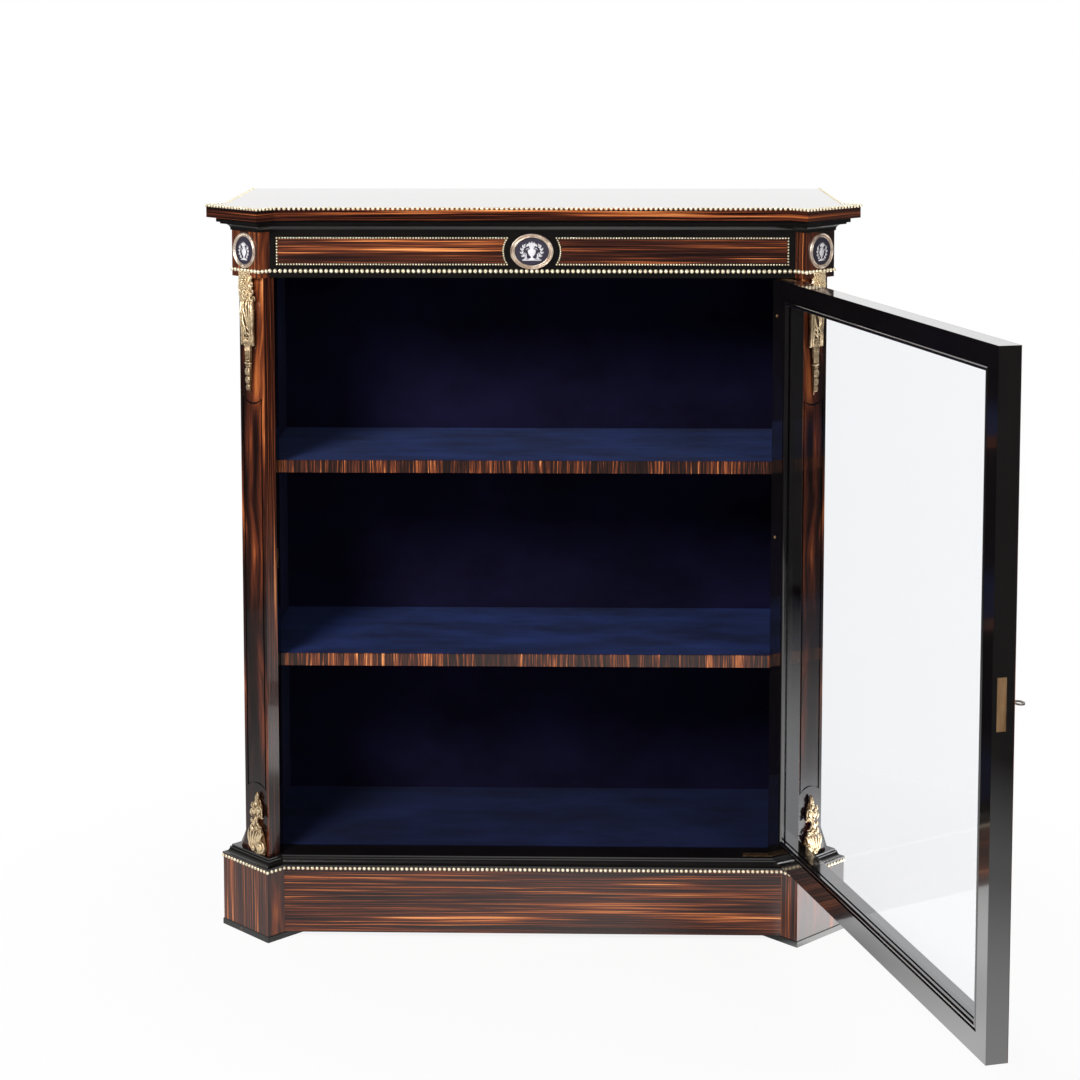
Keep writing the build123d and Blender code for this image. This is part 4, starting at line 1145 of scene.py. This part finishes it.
def white_floor():
    finish = Finish("white_floor", base_color=(0.86, 0.86, 0.86), roughness=0.9, specular_ior_level=0.0)
    camera_ray, glossy_ray, clear_ray = ray_kinds(finish)
    seen = (camera_ray + glossy_ray + clear_ray).math("MINIMUM", 1.0)
    x, y, z = finish.place()
    away = (x * x + y * y).math("SQRT")
    bright = -0.7
    for (x_low, x_from, x_to, x_high), (y_low, y_from, y_to, y_high), change in PAINTED_REFLECTION_ZONES:
        across = finish.between(x, x_low, x_from) * finish.between(x, x_high, x_to)
        deep = finish.between(y, y_low, y_from) * finish.between(y, y_high, y_to)
        bright = across * deep * change + bright
    glow = finish.node("Emission", {"Strength": glossy_ray * bright + 1.0})
    shadowed = Wire(finish.tree, finish.shader.outputs[0])
    finish.blend(seen * (finish.between(away, 0.3, 1.1) * 0.12 + 0.88), shadowed, glow)
    return finish.material


floor_mesh = bmesh.new()
floor_place = Matrix.Translation((0, 0.1, 0))
bmesh.ops.create_circle(floor_mesh, cap_ends=True, segments=96, radius=2.4, matrix=floor_place)
floor_data = bpy.data.meshes.new("floor")
floor_mesh.to_mesh(floor_data)
floor_mesh.free()
floor = bpy.data.objects.new("floor", floor_data)
bpy.context.scene.collection.objects.link(floor)
floor_data.materials.append(white_floor())
print("floor", len(floor_data.polygons), "face")

# %% [markdown]
# The camera and the glass see the world as pure white. Glossy surfaces see a room: bright behind the
# cabinet, dark in front, and one strong patch high up at the back on the right, which gives the polish
# there its glare. The cabinet's own light comes from the lamps, and a little from all round.


# %% World
world = bpy.data.worlds.new("studio")
bpy.context.scene.world = world
world.use_nodes = True
world.node_tree.nodes.clear()


class Room(Finish):
    """The node tree of the world, with a Finish's ways of adding nodes."""

    def __init__(self, tree):
        self.tree = tree


room = Room(world.node_tree)
toward = room.node("TexCoord", output="Generated")
x, y, z = [room.node("SeparateXYZ", {0: toward}, output=axis) for axis in range(3)]
camera_ray, glossy_ray, clear_ray = ray_kinds(room)
behind = room.between(y * 1.2 + x * 0.05 + z * 0.5, 0.1, 0.9)
glare = room.between(x, 0.45, 0.6) * room.between(y, 0.25, 0.4) * room.between(z, 0.35, 0.5)
reflected = behind * 0.96 + glare * 4.0 + 0.04
ambient = 0.2
strength = (camera_ray + clear_ray).math("MINIMUM", 1.0)
strength = strength + (1.0 - strength) * (glossy_ray * reflected + (1.0 - glossy_ray) * ambient)
background = room.node("Background", {"Color": (1, 1, 1, 1), "Strength": strength})
world_output = world.node_tree.nodes.new("ShaderNodeOutputWorld")
world.node_tree.links.new(background.socket, world_output.inputs["Surface"])
print("room set")

# %% [markdown]
# One large soft lamp stands at the front left, raised about thirty degrees: it reaches under the frieze
# and lights the shelves and the back's right-hand side, as the photograph shows. A weaker one
# on the right opens the shadows.


# %% Lamps
def lamp(name, azimuth, elevation, distance, size, power):
    data = bpy.data.lights.new(name, "AREA")
    data.shape = "DISK"
    data.size = size
    data.energy = power
    target = at(0, 200, 600)
    away = Vector((sin(azimuth) * cos(elevation), -cos(azimuth) * cos(elevation), sin(elevation)))
    holder = bpy.data.objects.new(name, data)
    holder.location = target + away * distance
    holder.rotation_euler = away.to_track_quat("Z", "Y").to_euler()
    holder.visible_camera = False
    bpy.context.scene.collection.objects.link(holder)


lamp("main_lamp", radians(-28), radians(30), 4.0, 1.3, 150)
lamp("fill_lamp", radians(38), radians(20), 4.4, 2.0, 45)
print("lamps", [light.name for light in bpy.data.lights])
